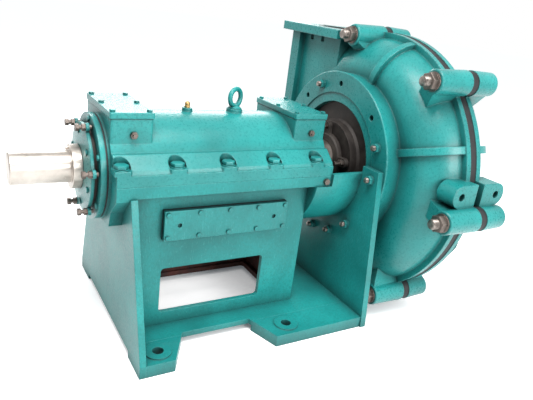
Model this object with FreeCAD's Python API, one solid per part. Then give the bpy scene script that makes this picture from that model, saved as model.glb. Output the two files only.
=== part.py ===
import FreeCAD, Part
import math
import os

# Horizontal lined slurry pump: bearing frame on a welded pedestal, split oil-bath housing, packed
# gland and a two-part lined casing. Millimetres, +Z up, +X along the shaft to the wet end.
# The origin is on the ground, at the centre of the four foot bolts.

V = FreeCAD.Vector
X_DIR = V(1, 0, 0)
Y_DIR = V(0, 1, 0)
Z_DIR = V(0, 0, 1)
FAR = 4000.0

# ---- fits and clearances ----
RUN = 0.06            # radial air of a running or sliding fit
SEAT = 0.15           # radial air of a located seat
AIR = 0.3             # air between parts that only lie beside each other
SPLIT = 0.6           # air between the two halves of the gland
BOLT_AIR = 1.0        # radial air of a bolt in its clearance hole

# ---- levels and stations ----
AXIS_Z = 674.0        # shaft axis above the ground
HOUSING_X0 = -430.0   # drive-end face of the bearing housing
HOUSING_LEN = 927.0
BAY_LEN = 153.0       # open gland bay between housing and front wall
FRONT_WALL_T = 28.0

HOUSING_X1 = HOUSING_X0 + HOUSING_LEN
FRONT_X0 = HOUSING_X1 + BAY_LEN
FRONT_X1 = FRONT_X0 + FRONT_WALL_T

# ---- pedestal ----
FOOT_SPAN_X = 576.0   # foot bolt spacing along the shaft
FOOT_SPAN_Y = 780.0
FOOT_HOLE_R = 22.0
FOOT_PAD_R = 52.0
FOOT_PAD_H = 5.0
FOOT_H = 50.0
FOOT_Y = 462.0        # half width over the feet
FOOT_INNER_Y = 320.0
BASE_T = 24.0
NOTCH_Y = 304.0       # half width of the base between the feet
WALL_T = 25.0
END_PLATE_T = 49.0
WALL_TOP_OUT = 10.0   # cross walls beyond the housing flange
SIDE_Y = 218.0        # outer face of the side walls
SIDE_T = 20.0
SIDE_LEN = 775.0
WINDOW_LEN = 462.0
WINDOW_Z0 = 106.0
WINDOW_H = 200.0
WINDOW_R = 16.0
WINDOW_INSET = 126.0  # from the drive-end wall to the window
FOOT_TOE = 139.0      # outer length of the drive-end foot
FOOT_ROOT = 225.0     # its length at the root
REAR_ROOT = 498.0     # root length of the pump-end foot, from the front wall
REAR_TOE = 446.0
FRONT_SHOULDER_Y = 390.0
FRONT_FOOT_Y = 470.0
FRONT_FOOT_DRAFT = 4.0
WINDOW_SILL = 8.0     # base plate left standing inside the side walls
TROUGH_T = 22.0
TROUGH_RIM = 10.0     # rim of the trough above the shaft axis
WALL_STUD_R = 12.0    # studs that hold the casing to the front wall
WALL_STUD_DEPTH = 44.0
WALL_STUD_OUT = 36.0
WALL_NUT_AF = 36.0
WALL_NUT_T = 20.0

WALL_X0 = HOUSING_X0 + END_PLATE_T
WALL_X1 = WALL_X0 + WALL_T
SIDE_X1 = WALL_X1 + SIDE_LEN
BASE_Z0 = FOOT_H - BASE_T
SIDE_IN = SIDE_Y - SIDE_T

# ---- access covers on the side walls ----
COVER_LEN = 545.0
COVER_H = 123.0
COVER_Z0 = 438.0
COVER_INSET = 119.0
COVER_T = 14.0
COVER_GASKET_T = 14.0
COVER_RIM = 14.0      # screws in from the cover's edge
COVER_SCREWS = 5      # along each long edge
ACCESS_RIM = 34.0     # wall left round the opening behind the cover
PULL_TAP_R = 9.0      # jacking holes in the cover
PULL_TAP_INSET = 62.0

# ---- bearing housing ----
BARREL_R = 216.0
BARREL_WALL = 24.0
SUMP_R = 194.0
FLANGE_Y = BARREL_R + 57.0
FLANGE_T = 44.0
SHOULDER_H = 58.0
BOX_LEN = 156.0
BOX_Y = 172.0
BOX_TOP = BARREL_R + 5.0      # top of the bearing boxes above the axis
BOX_WALL = 22.0
LID_T = 22.0
GASKET_T = 2.0
PAD_R = 203.0
PAD_T = 8.0
END_WALL_T = 25.0
SPLIT_BOLT_Y = FLANGE_Y - 28.0
SPLIT_BOLT_R = 12.0
SPLIT_BOLT_COUNT = 5
SPLIT_BOLT_INSET = 21.0
SPLIT_BOLT_PITCH = 207.0
SPOT_R = 34.0
SPOT_H = 17.0
SPLIT_BOLT_AF = 46.0
SPLIT_BOLT_HEAD = 19.0
EYE_X = 136.0
EYE_SEAT = BARREL_R + 14.0    # eye bolt and breather seat above the axis
EYE_RING_R = 35.0
EYE_WIRE_R = 10.5
BREATHER_X = -77.0
LID_BOLT_R = 6.0
LID_OVERHANG = 3.0
LID_BOLT_INSET = 19.0
OIL_PLUG_LEVEL = 164.0
DRAIN_AF = 24.0
DRAIN_T = 14.0

# ---- bearing cartridge and its adjusting gear ----
CARTRIDGE_R = 150.0
CARTRIDGE_PROUD = 12.0
RING_T = 20.0
RING_GASKET_T = 7.0
ADJUST_GAP = 14.0
COVER_FLANGE_T = 12.0
COVER_FLANGE_R = 168.0
COVER_LUG_R = 16.0
COVER_NOSE = 8.0
COVER_NOSE_R = 98.0
SCREW_CIRCLE_R = 180.0
SCREW_ANGLE = 8.0       # first adjusting screw
RING_BOLT_CIRCLE_R = 186.0
RING_BOLT_ANGLE = 26.0
ADJUST_SCREW_R = 8.0
ADJUST_SCREW_LEN = 46.0
ADJUST_TIP_GAP = 4.0
COVER_BOLT_CIRCLE_R = 136.0
COVER_BOLT_ANGLE = 38.0
COVER_BOLT_R = 6.0
PUMP_COVER_T = 14.0

GASKET_RING_X1 = HOUSING_X0 - PAD_T
RING_X1 = GASKET_RING_X1 - RING_GASKET_T
RING_X0 = RING_X1 - RING_T
COVER_X1 = RING_X0 - ADJUST_GAP
COVER_X0 = COVER_X1 - COVER_FLANGE_T
NOSE_X = COVER_X0 - COVER_NOSE
CARTRIDGE_X1 = HOUSING_X1 + CARTRIDGE_PROUD

# ---- shaft and bearings ----
STUB_R = 60.0
STUB_LEN = 211.0
STUB_CHAMFER = 4.0
COLLAR_R = 84.0
COLLAR_SEAT_R = 61.5
COLLAR_LEN = 33.0
SEAL_R = 64.0
SEAL_W = 12.0
DRIVE_JOURNAL_R = 65.0
PUMP_JOURNAL_R = 70.0
MID_SHAFT_R = 78.0
NECK_R = 68.0
SLEEVE_SEAT_R = 62.0
SLEEVE_R = 80.0
THREAD_R = 52.0
DRIVE_BEARING_R = 120.0
DRIVE_BEARING_W = 90.0
PUMP_BEARING_R = 125.0
PUMP_BEARING_W = 81.0
RACE_T = 16.0
INNER_RACE_T = 17.0
ROLLER_COUNT = 12
SPIGOT_LEN = 16.0
NUT_T = 13.0
NUT_WALL = 20.0

COLLAR_X1 = NOSE_X - 1.0
COLLAR_X0 = COLLAR_X1 - COLLAR_LEN
SHAFT_X0 = COLLAR_X0 - STUB_LEN
DRIVE_BEARING_X0 = COVER_X1 + SPIGOT_LEN
DRIVE_BEARING_X1 = DRIVE_BEARING_X0 + DRIVE_BEARING_W
PUMP_BEARING_X1 = CARTRIDGE_X1 - SPIGOT_LEN - NUT_T
PUMP_BEARING_X0 = PUMP_BEARING_X1 - PUMP_BEARING_W

# ---- gland and stuffing box ----
BOX_FACE_X = FRONT_X1 - 6.0
BOX_HUB_R = 172.0
BOX_BORE_R = 102.0
BOX_HUB_LEN = 43.0
BOX_WEB_R = 266.0
BOX_STEP = 19.0       # step behind the web, seated in the casing
CHAMBER_LEN = 100.0
PACKING_W = 18.0
PACKING_COUNT = 3
LANTERN_W = 20.0
GLAND_T = 24.0
GLAND_R = 118.0
GLAND_BORE_R = 81.0
GLAND_STAND = 8.0
GLAND_SPIGOT = 18.0   # spigot depth inside the box at rest
GLAND_STUD_CIRCLE_R = 150.0
GLAND_STUD_R = 10.0
GLAND_STUD_LEN = 76.0
GLAND_STUD_DEPTH = 28.0
GLAND_LUG_R = 22.0
GLAND_ANGLE = 5.0
SLINGER_R = 108.0
SLINGER_T = 12.0
SLINGER_X = HOUSING_X1 + 42.0
BOX_STEP_R = BOX_WEB_R + BOX_STEP

# ---- casing ----
HUB_R = 407.0
HUB_BACK_R = 397.0
HUB_LEN = 88.0
RING_RECESS_R = BOX_STEP_R + 23.0
RING_RECESS = 6.0
RING_BOLT_R = 352.0
SEAM_FROM_FACE = 268.0
SEAM_GAP = 36.0
CASING_Y = -16.0      # the casing scroll's centre beside the shaft
CASING_Z = -25.0
RIM_STEP = 26.0       # rim above the bowl
RIM_T = 24.0
CASING_WALL = 28.0
BOWL_FLAT_R = 435.0   # flat part of the bowl, about the scroll's centre
TUBE_R = 54.0
TUBE_TIP_R = 50.0
BACK_TUBE_LEN = 173.0
COVER_TUBE_LEN = 121.0
BLIND_DEPTH = 85.0    # depth of the tapped holes in the cover half
CASING_BOLT_R = 21.0
CASING_NUT_AF = 65.0
CASING_NUT_T = 34.0
CASING_BOLT_END = 30.0
RIB_T = 32.0
BACK_RIB_ANGLES = (18.5, 72.5)
COVER_RIB_ANGLES = (18.5, 72.5, -28.0, -62.0, -118.0, -152.0)
RIB_PROUD = 22.0      # ribs stand this far off the bowl's skin
LUG_Z = 28.0
LUG_SINK = 5.0        # ear's middle inside the rim
LUG_T = 90.0
LUG_R = 49.0
LUG_HOLE_R = 16.0
LUG_FROM_SEAM = 103.0
NECK_Y0 = 150.0
NECK_Y1 = 575.0
NECK_TOP = 540.0
NECK_DEPTH = 178.0
NECK_RIB_W = 70.0
NECK_RIB_T = 32.0
OUTLET_Y = 366.0
OUTLET_R = 125.0
OUTLET_LINER = 25.0
OUTLET_FLANGE_T = 42.0
OUTLET_FLANGE_LEN = 484.0
OUTLET_FLANGE_DEPTH = 240.0
OUTLET_PCD = 362.0
OUTLET_HOLE_R = 13.0
OUTLET_HOLES = 12
INLET_R = 150.0
INLET_LINER = 28.0
INLET_WALL = 24.0
INLET_LEN = 67.0
INLET_FLANGE_R = 242.0
INLET_FLANGE_T = 35.0
INLET_PCD = 432.0
INLET_HOLE_R = 13.0
INLET_HOLES = 12

HUB_X1 = FRONT_X1 + HUB_LEN
SEAM_X = FRONT_X1 + SEAM_FROM_FACE
RIM_X1 = SEAM_X - SEAM_GAP / 2
RIM_X0 = RIM_X1 - RIM_T
BOWL_X0 = HUB_X1 - 2.0
BOWL_ARC_R = RIM_X1 - BOWL_X0     # the bowl's round ends at the rim face
RIM_R = BOWL_FLAT_R + BOWL_ARC_R + RIM_STEP
LUG_Y = CASING_Y - RIM_R + LUG_SINK
NECK_X0 = SEAM_X - NECK_DEPTH

# Casing bolts about the scroll's centre: angle from the near side, and distance outside the rim.
CASING_BOLTS = ((98.4, -24.0), (45.8, 40.0), (-4.0, 47.0), (-56.2, 29.0), (-123.8, 29.0), (172.6, 36.0))
OUTER_STUD_ANGLES = (0, -45, -67.5, -90, -112.5, -135, 180)
LINER_STUD_ANGLES = (22.5, 112.5, 157.5)
OPEN_HOLE_ANGLES = (45, 90, 135)

# ---- liners and impeller ----
LINER_T = 31.0
LINER_EYE_R = BOX_STEP_R + 5.0
LINER_EDGE = 3.0      # liner flange below the casing rim
LINER_FLANGE_R = RIM_R - LINER_EDGE
IMPELLER_R = 381.0
IMPELLER_GAP = 5.0
SHROUD_T = 18.0
VANE_T = 24.0
VANE_COUNT = 5
BACK_VANE_H = 10.0
IMPELLER_BACK_GAP = 14.0
IMPELLER_BOSS_R = 79.0
EYE_LIP = 15.0
EYE_LIP_LEN = 19.0
THREAD_LEN = 130.0    # impeller thread on the shaft


# ---------------------------------------------------------------- helpers

def block(x0, x1, y0, y1, z0, z1):
    return Part.makeBox(x1 - x0, y1 - y0, z1 - z0, V(x0, y0, z0))


def rod(x0, x1, r, y=0.0, z=0.0):
    """Cylinder along the shaft direction; y and z are measured from the shaft axis."""
    return Part.makeCylinder(r, x1 - x0, V(x0, y, AXIS_Z + z), X_DIR)


def ring(x0, x1, r_out, r_in, y=0.0, z=0.0):
    return rod(x0, x1, r_out, y, z).cut(rod(x0 - 1, x1 + 1, r_in, y, z))


def post(x, y, z0, z1, r):
    return Part.makeCylinder(r, z1 - z0, V(x, y, z0), Z_DIR)


def turned(points, y=0.0, z=0.0):
    """Closed (x, r) outline spun about the shaft direction. A point of four numbers is the end of
    an arc, after the point that the arc passes through."""
    edges = []
    start = V(points[0][0], 0, points[0][1])
    here = start
    for p in points[1:] + points[:1]:
        end = V(p[-2], 0, p[-1])
        if len(p) == 4:
            edges.append(Part.Arc(here, V(p[0], 0, p[1]), end).toShape())
        elif (end - here).Length > 1e-6:
            edges.append(Part.makeLine(here, end))
        here = end
    face = Part.Face(Part.Wire(edges))
    face.translate(V(0, y, AXIS_Z + z))
    return face.revolve(V(0, y, AXIS_Z + z), X_DIR, 360)


def plate_x(outline, x0, x1):
    """Flat plate across the shaft from (y, z) corners, z from the ground."""
    points = [V(x0, y, z) for y, z in outline]
    wire = Part.makePolygon(points + points[:1])
    return Part.Face(wire).extrude(V(x1 - x0, 0, 0))


def plate_z(outline, z0, z1):
    points = [V(x, y, z0) for x, y in outline]
    wire = Part.makePolygon(points + points[:1])
    return Part.Face(wire).extrude(V(0, 0, z1 - z0))


def hexagon(x0, x1, flats, y, z):
    """Hexagonal prism along the shaft direction."""
    r = flats / math.sqrt(3)
    corners = [(y + r * math.cos(math.radians(60 * k)), AXIS_Z + z + r * math.sin(math.radians(60 * k)))
               for k in range(6)]
    return plate_x(corners, x0, x1)


def hexagon_z(x, y, flats, z0, z1):
    r = flats / math.sqrt(3)
    corners = [(x + r * math.cos(math.radians(60 * k)), y + r * math.sin(math.radians(60 * k)))
               for k in range(6)]
    return plate_z(corners, z0, z1)


def polar(radius, angle):
    """(y, z) from the axis; 0 degrees points to the near side, 90 degrees up."""
    a = math.radians(angle)
    return -radius * math.cos(a), radius * math.sin(a)


def spaced(count, first):
    return [first + 360.0 * k / count for k in range(count)]


def join(shapes):
    whole = shapes[0]
    if len(shapes) > 1:
        whole = whole.multiFuse(shapes[1:])
    return whole.removeSplitter()


def cut(shape, tools):
    return shape.cut(Part.makeCompound(tools))


def above_axis(x0=-FAR, x1=FAR, level=0.0):
    return block(x0, x1, -FAR, FAR, AXIS_Z + level, AXIS_Z + FAR)


def below_axis(x0=-FAR, x1=FAR, level=0.0):
    return block(x0, x1, -FAR, FAR, AXIS_Z - FAR, AXIS_Z + level)


def rounded_plate(x0, x1, y0, y1, z0, z1, r, along):
    """Block with its four edges along the named direction rounded."""
    body = block(x0, x1, y0, y1, z0, z1)
    edges = [e for e in body.Edges if abs(e.tangentAt(e.FirstParameter).dot(along)) > 0.99]
    return body.makeFillet(r, edges)


NODES = {}


def keep(name, shape):
    NODES[name] = shape


# ---------------------------------------------------------------- pedestal

def foot_outlines():
    drive = [(WALL_X1, FOOT_INNER_Y), (WALL_X1, FOOT_Y), (WALL_X0 + FOOT_TOE, FOOT_Y),
             (foot_slant_x(FOOT_INNER_Y), FOOT_INNER_Y)]
    pump = [(rear_slant_x(FOOT_INNER_Y), FOOT_INNER_Y), (FRONT_X0 - REAR_TOE, FOOT_Y),
            (FRONT_X0, FOOT_Y), (FRONT_X0, FOOT_INNER_Y)]
    return drive, pump


def foot_slant_x(y):
    root, toe = WALL_X0 + FOOT_ROOT, WALL_X0 + FOOT_TOE
    return root + (toe - root) * (y - NOTCH_Y) / (FOOT_Y - NOTCH_Y)


def rear_slant_x(y):
    root, toe = FRONT_X0 - REAR_ROOT, FRONT_X0 - REAR_TOE
    return root + (toe - root) * (y - NOTCH_Y) / (FOOT_Y - NOTCH_Y)


def foot_block(outline, side, hole_x):
    y = side * FOOT_SPAN_Y / 2
    body = plate_z([(px, side * py) for px, py in outline], 0, FOOT_H)
    pad = post(hole_x, y, FOOT_H - 1, FOOT_H + FOOT_PAD_H, FOOT_PAD_R)
    body = join([body, pad])
    return body.cut(post(hole_x, y, -1, FOOT_H + FOOT_PAD_H + 1, FOOT_HOLE_R))


def make_base():
    drive, pump = foot_outlines()
    blocks = []
    for side in (-1, 1):
        blocks.append(foot_block(drive, side, -FOOT_SPAN_X / 2))
        blocks.append(foot_block(pump, side, FOOT_SPAN_X / 2))
    keep("foot_blocks", Part.makeCompound(blocks))
    half = [(WALL_X1, FOOT_INNER_Y), (foot_slant_x(FOOT_INNER_Y), FOOT_INNER_Y),
            (WALL_X0 + FOOT_ROOT, NOTCH_Y), (FRONT_X0 - REAR_ROOT, NOTCH_Y),
            (rear_slant_x(FOOT_INNER_Y), FOOT_INNER_Y), (FRONT_X0, FOOT_INNER_Y)]
    outline = half + [(x, -y) for x, y in reversed(half)]
    plate = plate_z(outline, BASE_Z0, FOOT_H)
    half_w = SIDE_IN - WINDOW_SILL
    opening = rounded_plate(WALL_X1 + SIDE_T, SIDE_X1 - 2 * SIDE_T, -half_w, half_w,
                            BASE_Z0 - 1, FOOT_H + 1, WINDOW_R, Z_DIR)
    keep("base_plate", plate.cut(opening))


def arch():
    """Space under a cross wall between its two feet."""
    return block(-FAR, FAR, -FOOT_INNER_Y, FOOT_INNER_Y, -1, BASE_Z0)


def make_walls():
    top = AXIS_Z - FLANGE_T
    wall_top_y = FLANGE_Y + WALL_TOP_OUT
    outline = [(-FOOT_Y, 0), (FOOT_Y, 0), (FOOT_Y, FOOT_H), (wall_top_y, top),
               (-wall_top_y, top), (-FOOT_Y, FOOT_H)]
    wall = plate_x(outline, WALL_X0, WALL_X1)
    keep("drive_end_wall", cut(wall, [arch(), rod(WALL_X0 - 1, WALL_X1 + 1, SUMP_R + AIR)]))
    for name, side in (("side_wall_near", -1), ("side_wall_far", 1)):
        y0, y1 = sorted((side * SIDE_IN, side * SIDE_Y))
        side_wall = block(WALL_X1, SIDE_X1, y0, y1, FOOT_H, top)
        x0 = WALL_X1 + WINDOW_INSET
        window = rounded_plate(x0, x0 + WINDOW_LEN, y0 - 1, y1 + 1, WINDOW_Z0, WINDOW_Z0 + WINDOW_H,
                               WINDOW_R, Y_DIR)
        keep(name, cut(side_wall, [window, access_hole(side)]))
    bulkhead = block(SIDE_X1 - SIDE_T, SIDE_X1, -SIDE_IN, SIDE_IN, FOOT_H, top)
    bulkhead = bulkhead.cut(rod(SIDE_X1 - SIDE_T - 1, SIDE_X1 + 1, SUMP_R + AIR))
    keep("pump_end_bulkhead", max(bulkhead.Solids, key=lambda s: s.Volume))


def make_front_wall():
    shoulder = AXIS_Z + FLANGE_T
    ankle = FRONT_FOOT_Y - FRONT_FOOT_DRAFT
    outline = [(-FRONT_FOOT_Y, 0), (FRONT_FOOT_Y, 0), (ankle, FOOT_H),
               (FRONT_SHOULDER_Y, shoulder), (-FRONT_SHOULDER_Y, shoulder), (-ankle, FOOT_H)]
    wall = plate_x(outline, FRONT_X0, FRONT_X1)
    half_w = BOX_WEB_R + TROUGH_T
    mouth = block(FRONT_X0 - 1, FRONT_X1 + 1, -half_w, half_w, AXIS_Z + TROUGH_RIM, AXIS_Z + FAR)
    holes = [rod(FRONT_X0 - 1, FRONT_X1 + 1, WALL_STUD_R + BOLT_AIR, *polar(RING_BOLT_R, a))
             for a in OUTER_STUD_ANGLES]
    keep("front_wall", cut(wall, [arch(), mouth, rod(FRONT_X0 - 1, FRONT_X1 + 1, BOX_WEB_R)] + holes))


def make_trough():
    """Half pipe under the gland that carries the casing and catches leakage."""
    pipe = ring(SIDE_X1, FRONT_X0, BOX_WEB_R + TROUGH_T, BOX_WEB_R)
    pipe = pipe.common(below_axis(level=TROUGH_RIM))
    pipe = pipe.cut(above_axis(x1=HOUSING_X1, level=-FLANGE_T))
    end = ring(SIDE_X1, SIDE_X1 + SIDE_T, BOX_WEB_R + 1, SUMP_R + AIR).common(below_axis(level=-FLANGE_T))
    keep("gland_trough", join([pipe, end]))


def access_span():
    x0 = WALL_X1 + COVER_INSET
    return x0, x0 + COVER_LEN


def access_hole(side):
    """Opening behind an access cover, through the side wall and the cover's gasket."""
    x0, x1 = access_span()
    y0, y1 = sorted((side * (SIDE_IN - 1), side * (SIDE_Y + COVER_GASKET_T + 1)))
    return block(x0 + ACCESS_RIM, x1 - ACCESS_RIM, y0, y1, COVER_Z0 + ACCESS_RIM,
                 COVER_Z0 + COVER_H - ACCESS_RIM)


def make_access_covers():
    x0, x1 = access_span()
    z0, z1 = COVER_Z0, COVER_Z0 + COVER_H
    gaskets, screws = [], []
    for name, side in (("access_cover_near", -1), ("access_cover_far", 1)):
        ys = [side * SIDE_Y, side * (SIDE_Y + COVER_GASKET_T), side * (SIDE_Y + COVER_GASKET_T + COVER_T)]
        gasket = block(x0, x1, min(ys[:2]), max(ys[:2]), z0, z1)
        gaskets.append(gasket.cut(access_hole(side)))
        plate = rounded_plate(x0, x1, min(ys[1:]), max(ys[1:]), z0, z1, 4.0, Y_DIR)
        pitch = (COVER_LEN - 2 * COVER_RIM) / (COVER_SCREWS - 1)
        places = [(x0 + COVER_RIM + pitch * k, z)
                  for k in range(COVER_SCREWS) for z in (z0 + COVER_RIM, z1 - COVER_RIM)]
        taps = [Part.makeCylinder(PULL_TAP_R, COVER_T * 0.7, V(x, ys[2], (z0 + z1) / 2), Y_DIR * -side)
                for x in (x0 + PULL_TAP_INSET, x1 - PULL_TAP_INSET)]
        keep(name, cut(plate, taps))
        for x, z in places:
            head = hexagon_z(0, 0, 16.0, 0, 7.0)
            head.rotate(V(0, 0, 0), X_DIR, 90 if side < 0 else -90)
            head.translate(V(x, ys[2], z))
            screws.append(head)
    keep("cover_gaskets", Part.makeCompound(gaskets + lid_gaskets()))
    keep("access_screws", Part.makeCompound(screws))


# ---------------------------------------------------------------- bearing housing

def split_bolt_places():
    first = HOUSING_X0 + SPLIT_BOLT_INSET
    return [(first + SPLIT_BOLT_PITCH * k, side * SPLIT_BOLT_Y) for k in range(SPLIT_BOLT_COUNT) for side in (-1, 1)]


def box_spans():
    return ((HOUSING_X0, HOUSING_X0 + BOX_LEN), (HOUSING_X1 - BOX_LEN, HOUSING_X1))


def make_housing_upper():
    flange = block(HOUSING_X0, HOUSING_X1, -FLANGE_Y, FLANGE_Y, AXIS_Z, AXIS_Z + FLANGE_T)
    parts = [flange, rod(HOUSING_X0, HOUSING_X1, BARREL_R), rod(GASKET_RING_X1, HOUSING_X0 + 1, PAD_R)]
    root = AXIS_Z + FLANGE_T
    slope = [(FLANGE_Y - 6, root), (FLANGE_Y - 12, root + 14), (BARREL_R - 8, root + SHOULDER_H),
             (BARREL_R - 40, root + SHOULDER_H), (BARREL_R - 40, root - 1), (FLANGE_Y - 6, root - 1)]
    for side in (-1, 1):
        parts.append(plate_x([(side * y, z) for y, z in slope], HOUSING_X0, HOUSING_X1))
    for x0, x1 in box_spans():
        parts.append(rounded_plate(x0, x1, -BOX_Y, BOX_Y, AXIS_Z + 20, AXIS_Z + BOX_TOP, 8.0, Z_DIR))
    parts.append(post(EYE_X, 0, AXIS_Z + BARREL_R - 16, AXIS_Z + EYE_SEAT, 34.0))
    parts.append(post(BREATHER_X, 0, AXIS_Z + BARREL_R - 16, AXIS_Z + EYE_SEAT, 21.0))
    for x, y in split_bolt_places():
        parts.append(post(x, y, root - 1, root + SPOT_H, SPOT_R + 5))
    body = join(parts).common(above_axis())
    body = body.common(block(GASKET_RING_X1, HOUSING_X1, -FLANGE_Y, FLANGE_Y, 0, FAR))
    tools = [rod(HOUSING_X0 + END_WALL_T, HOUSING_X1 - END_WALL_T, BARREL_R - BARREL_WALL),
             rod(GASKET_RING_X1 - 1, HOUSING_X1 + 1, CARTRIDGE_R + RUN)]
    for x0, x1 in box_spans():
        tools.append(block(x0 + BOX_WALL, x1 - BOX_WALL, -(BOX_Y - BOX_WALL), BOX_Y - BOX_WALL,
                           AXIS_Z + 60, AXIS_Z + BOX_TOP + 1))
    for x, y in split_bolt_places():
        tools.append(post(x, y, root + SPOT_H, root + SHOULDER_H + 60, SPOT_R))
        tools.append(post(x, y, AXIS_Z - 1, root + SPOT_H + 1, SPLIT_BOLT_R + BOLT_AIR))
    for x, y in lid_bolt_places():
        tools.append(post(x, y, AXIS_Z + BOX_TOP - 26, AXIS_Z + BOX_TOP + 1, LID_BOLT_R + AIR))
    keep("housing_upper", cut(body, tools))


def make_housing_lower():
    flange = block(HOUSING_X0, HOUSING_X1, -FLANGE_Y, FLANGE_Y, AXIS_Z - FLANGE_T, AXIS_Z)
    half = [(FLANGE_Y, AXIS_Z), (FLANGE_Y, AXIS_Z - FLANGE_T - 8), (SUMP_R + 7, AXIS_Z - 118),
            (SUMP_R - 14, AXIS_Z - SUMP_R + 14), (0, AXIS_Z - SUMP_R - 8)]
    plate = half + [(-y, z) for y, z in reversed(half[:-1])]
    parts = [flange, plate_x(plate, HOUSING_X0, WALL_X0), rod(HOUSING_X0, HOUSING_X1, SUMP_R),
             rod(GASKET_RING_X1, HOUSING_X0 + 1, PAD_R)]
    body = join(parts).common(below_axis())
    tools = [rod(HOUSING_X0 + END_WALL_T, HOUSING_X1 - END_WALL_T, SUMP_R - BARREL_WALL),
             rod(GASKET_RING_X1 - 1, HOUSING_X1 + 1, CARTRIDGE_R + RUN)]
    for x, y in split_bolt_places():
        tools.append(post(x, y, AXIS_Z - FLANGE_T - 1, AXIS_Z + 1, SPLIT_BOLT_R + BOLT_AIR))
    keep("housing_lower", cut(body, tools))


def make_split_bolts():
    bolts = []
    seat = AXIS_Z + FLANGE_T + SPOT_H
    for x, y in split_bolt_places():
        head = hexagon_z(x, y, SPLIT_BOLT_AF, seat, seat + SPLIT_BOLT_HEAD)
        shank = post(x, y, AXIS_Z - FLANGE_T + 2, seat + 1, SPLIT_BOLT_R)
        bolts.append(join([head, shank]))
    keep("split_line_bolts", Part.makeCompound(bolts))


def lid_bolt_places():
    edge = BOX_WALL / 2
    places = []
    for x0, x1 in box_spans():
        for x in (x0 + edge, x1 - edge):
            places += [(x, y) for y in (LID_BOLT_INSET - BOX_Y, 0, BOX_Y - LID_BOLT_INSET)]
    return places


def lid_gaskets():
    sheets = []
    for x0, x1 in box_spans():
        sheet = block(x0, x1, -BOX_Y, BOX_Y, AXIS_Z + BOX_TOP, AXIS_Z + BOX_TOP + GASKET_T)
        hole = block(x0 + BOX_WALL + 6, x1 - BOX_WALL - 6, -(BOX_Y - BOX_WALL - 6), BOX_Y - BOX_WALL - 6, 0, FAR)
        bolts = [post(x, y, AXIS_Z, AXIS_Z + FAR / 4, LID_BOLT_R + AIR) for x, y in lid_bolt_places()]
        sheets.append(cut(sheet, [hole] + bolts))
    return sheets


def make_lids():
    z0 = AXIS_Z + BOX_TOP + GASKET_T
    holes = [post(x, y, z0 - 1, z0 + LID_T + 1, LID_BOLT_R + AIR) for x, y in lid_bolt_places()]
    for name, (x0, x1) in zip(("lid_drive_end", "lid_pump_end"), box_spans()):
        lid = rounded_plate(x0 - LID_OVERHANG, x1 + LID_OVERHANG, -BOX_Y - LID_OVERHANG,
                            BOX_Y + LID_OVERHANG, z0, z0 + LID_T, 6.0, Z_DIR)
        keep(name, cut(lid, holes))
    bolts = []
    for x, y in lid_bolt_places():
        head = hexagon_z(x, y, 19.0, z0 + LID_T, z0 + LID_T + 8)
        bolts.append(join([head, post(x, y, z0 - 24, z0 + LID_T + 1, LID_BOLT_R)]))
    keep("lid_bolts", Part.makeCompound(bolts))


def make_eye_bolt():
    z = AXIS_Z + EYE_SEAT
    centre = V(EYE_X, 0, z + EYE_RING_R + EYE_WIRE_R)
    loop = Part.makeTorus(EYE_RING_R, EYE_WIRE_R, centre, Y_DIR)
    collar = Part.makeCone(28.0, 16.0, 12.0, V(EYE_X, 0, z), Z_DIR)
    eye = join([loop, collar])
    eye.rotate(V(EYE_X, 0, z), Z_DIR, 25)
    keep("eye_bolt", eye)
    stem = hexagon_z(BREATHER_X, 0, 22.0, z, z + 8)
    dome = Part.makeSphere(11.0, V(BREATHER_X, 0, z + 14))
    keep("breather", join([stem, dome]))


def make_oil_plugs():
    plugs = []
    level = AXIS_Z + OIL_PLUG_LEVEL
    for x0, x1 in box_spans():
        x = (x0 + x1) / 2 + 6
        body = hexagon_z(0, 0, 24.0, 0, 12.0)
        tip = Part.makeCylinder(7.0, 20.0, V(0, 0, 0), Z_DIR)
        plug = join([body, tip])
        plug.rotate(V(0, 0, 0), X_DIR, 90)
        plug.translate(V(x, -BOX_Y, level))
        plugs.append(plug)
    drain = hexagon_z(0, 0, DRAIN_AF, 0, DRAIN_T)
    drain.rotate(V(0, 0, 0), X_DIR, 90)
    drain.translate(V(HOUSING_X1 - 28, -FLANGE_Y, AXIS_Z - FLANGE_T / 2))
    keep("oil_plugs", Part.makeCompound(plugs + [drain]))


# ---------------------------------------------------------------- bearing cartridge

def make_adjusting_ring():
    bolts, holes = [], []
    for angle in spaced(6, RING_BOLT_ANGLE):
        y, z = polar(RING_BOLT_CIRCLE_R, angle)
        head = hexagon(RING_X0 - 8, RING_X0, 19.0, y, z)
        bolts.append(join([head, rod(RING_X0 - 1, GASKET_RING_X1 - 1, 6.0, y, z)]))
        holes.append(rod(RING_X0 - 1, GASKET_RING_X1, 6.0 + AIR, y, z))
    body = ring(RING_X0, RING_X1, PAD_R, CARTRIDGE_R + RUN)
    keep("adjusting_ring", cut(body, holes))
    keep("adjusting_ring_bolts", Part.makeCompound(bolts))
    keep("housing_gasket_ring", cut(ring(RING_X1, GASKET_RING_X1, PAD_R - 3, CARTRIDGE_R + AIR), holes))


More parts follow.
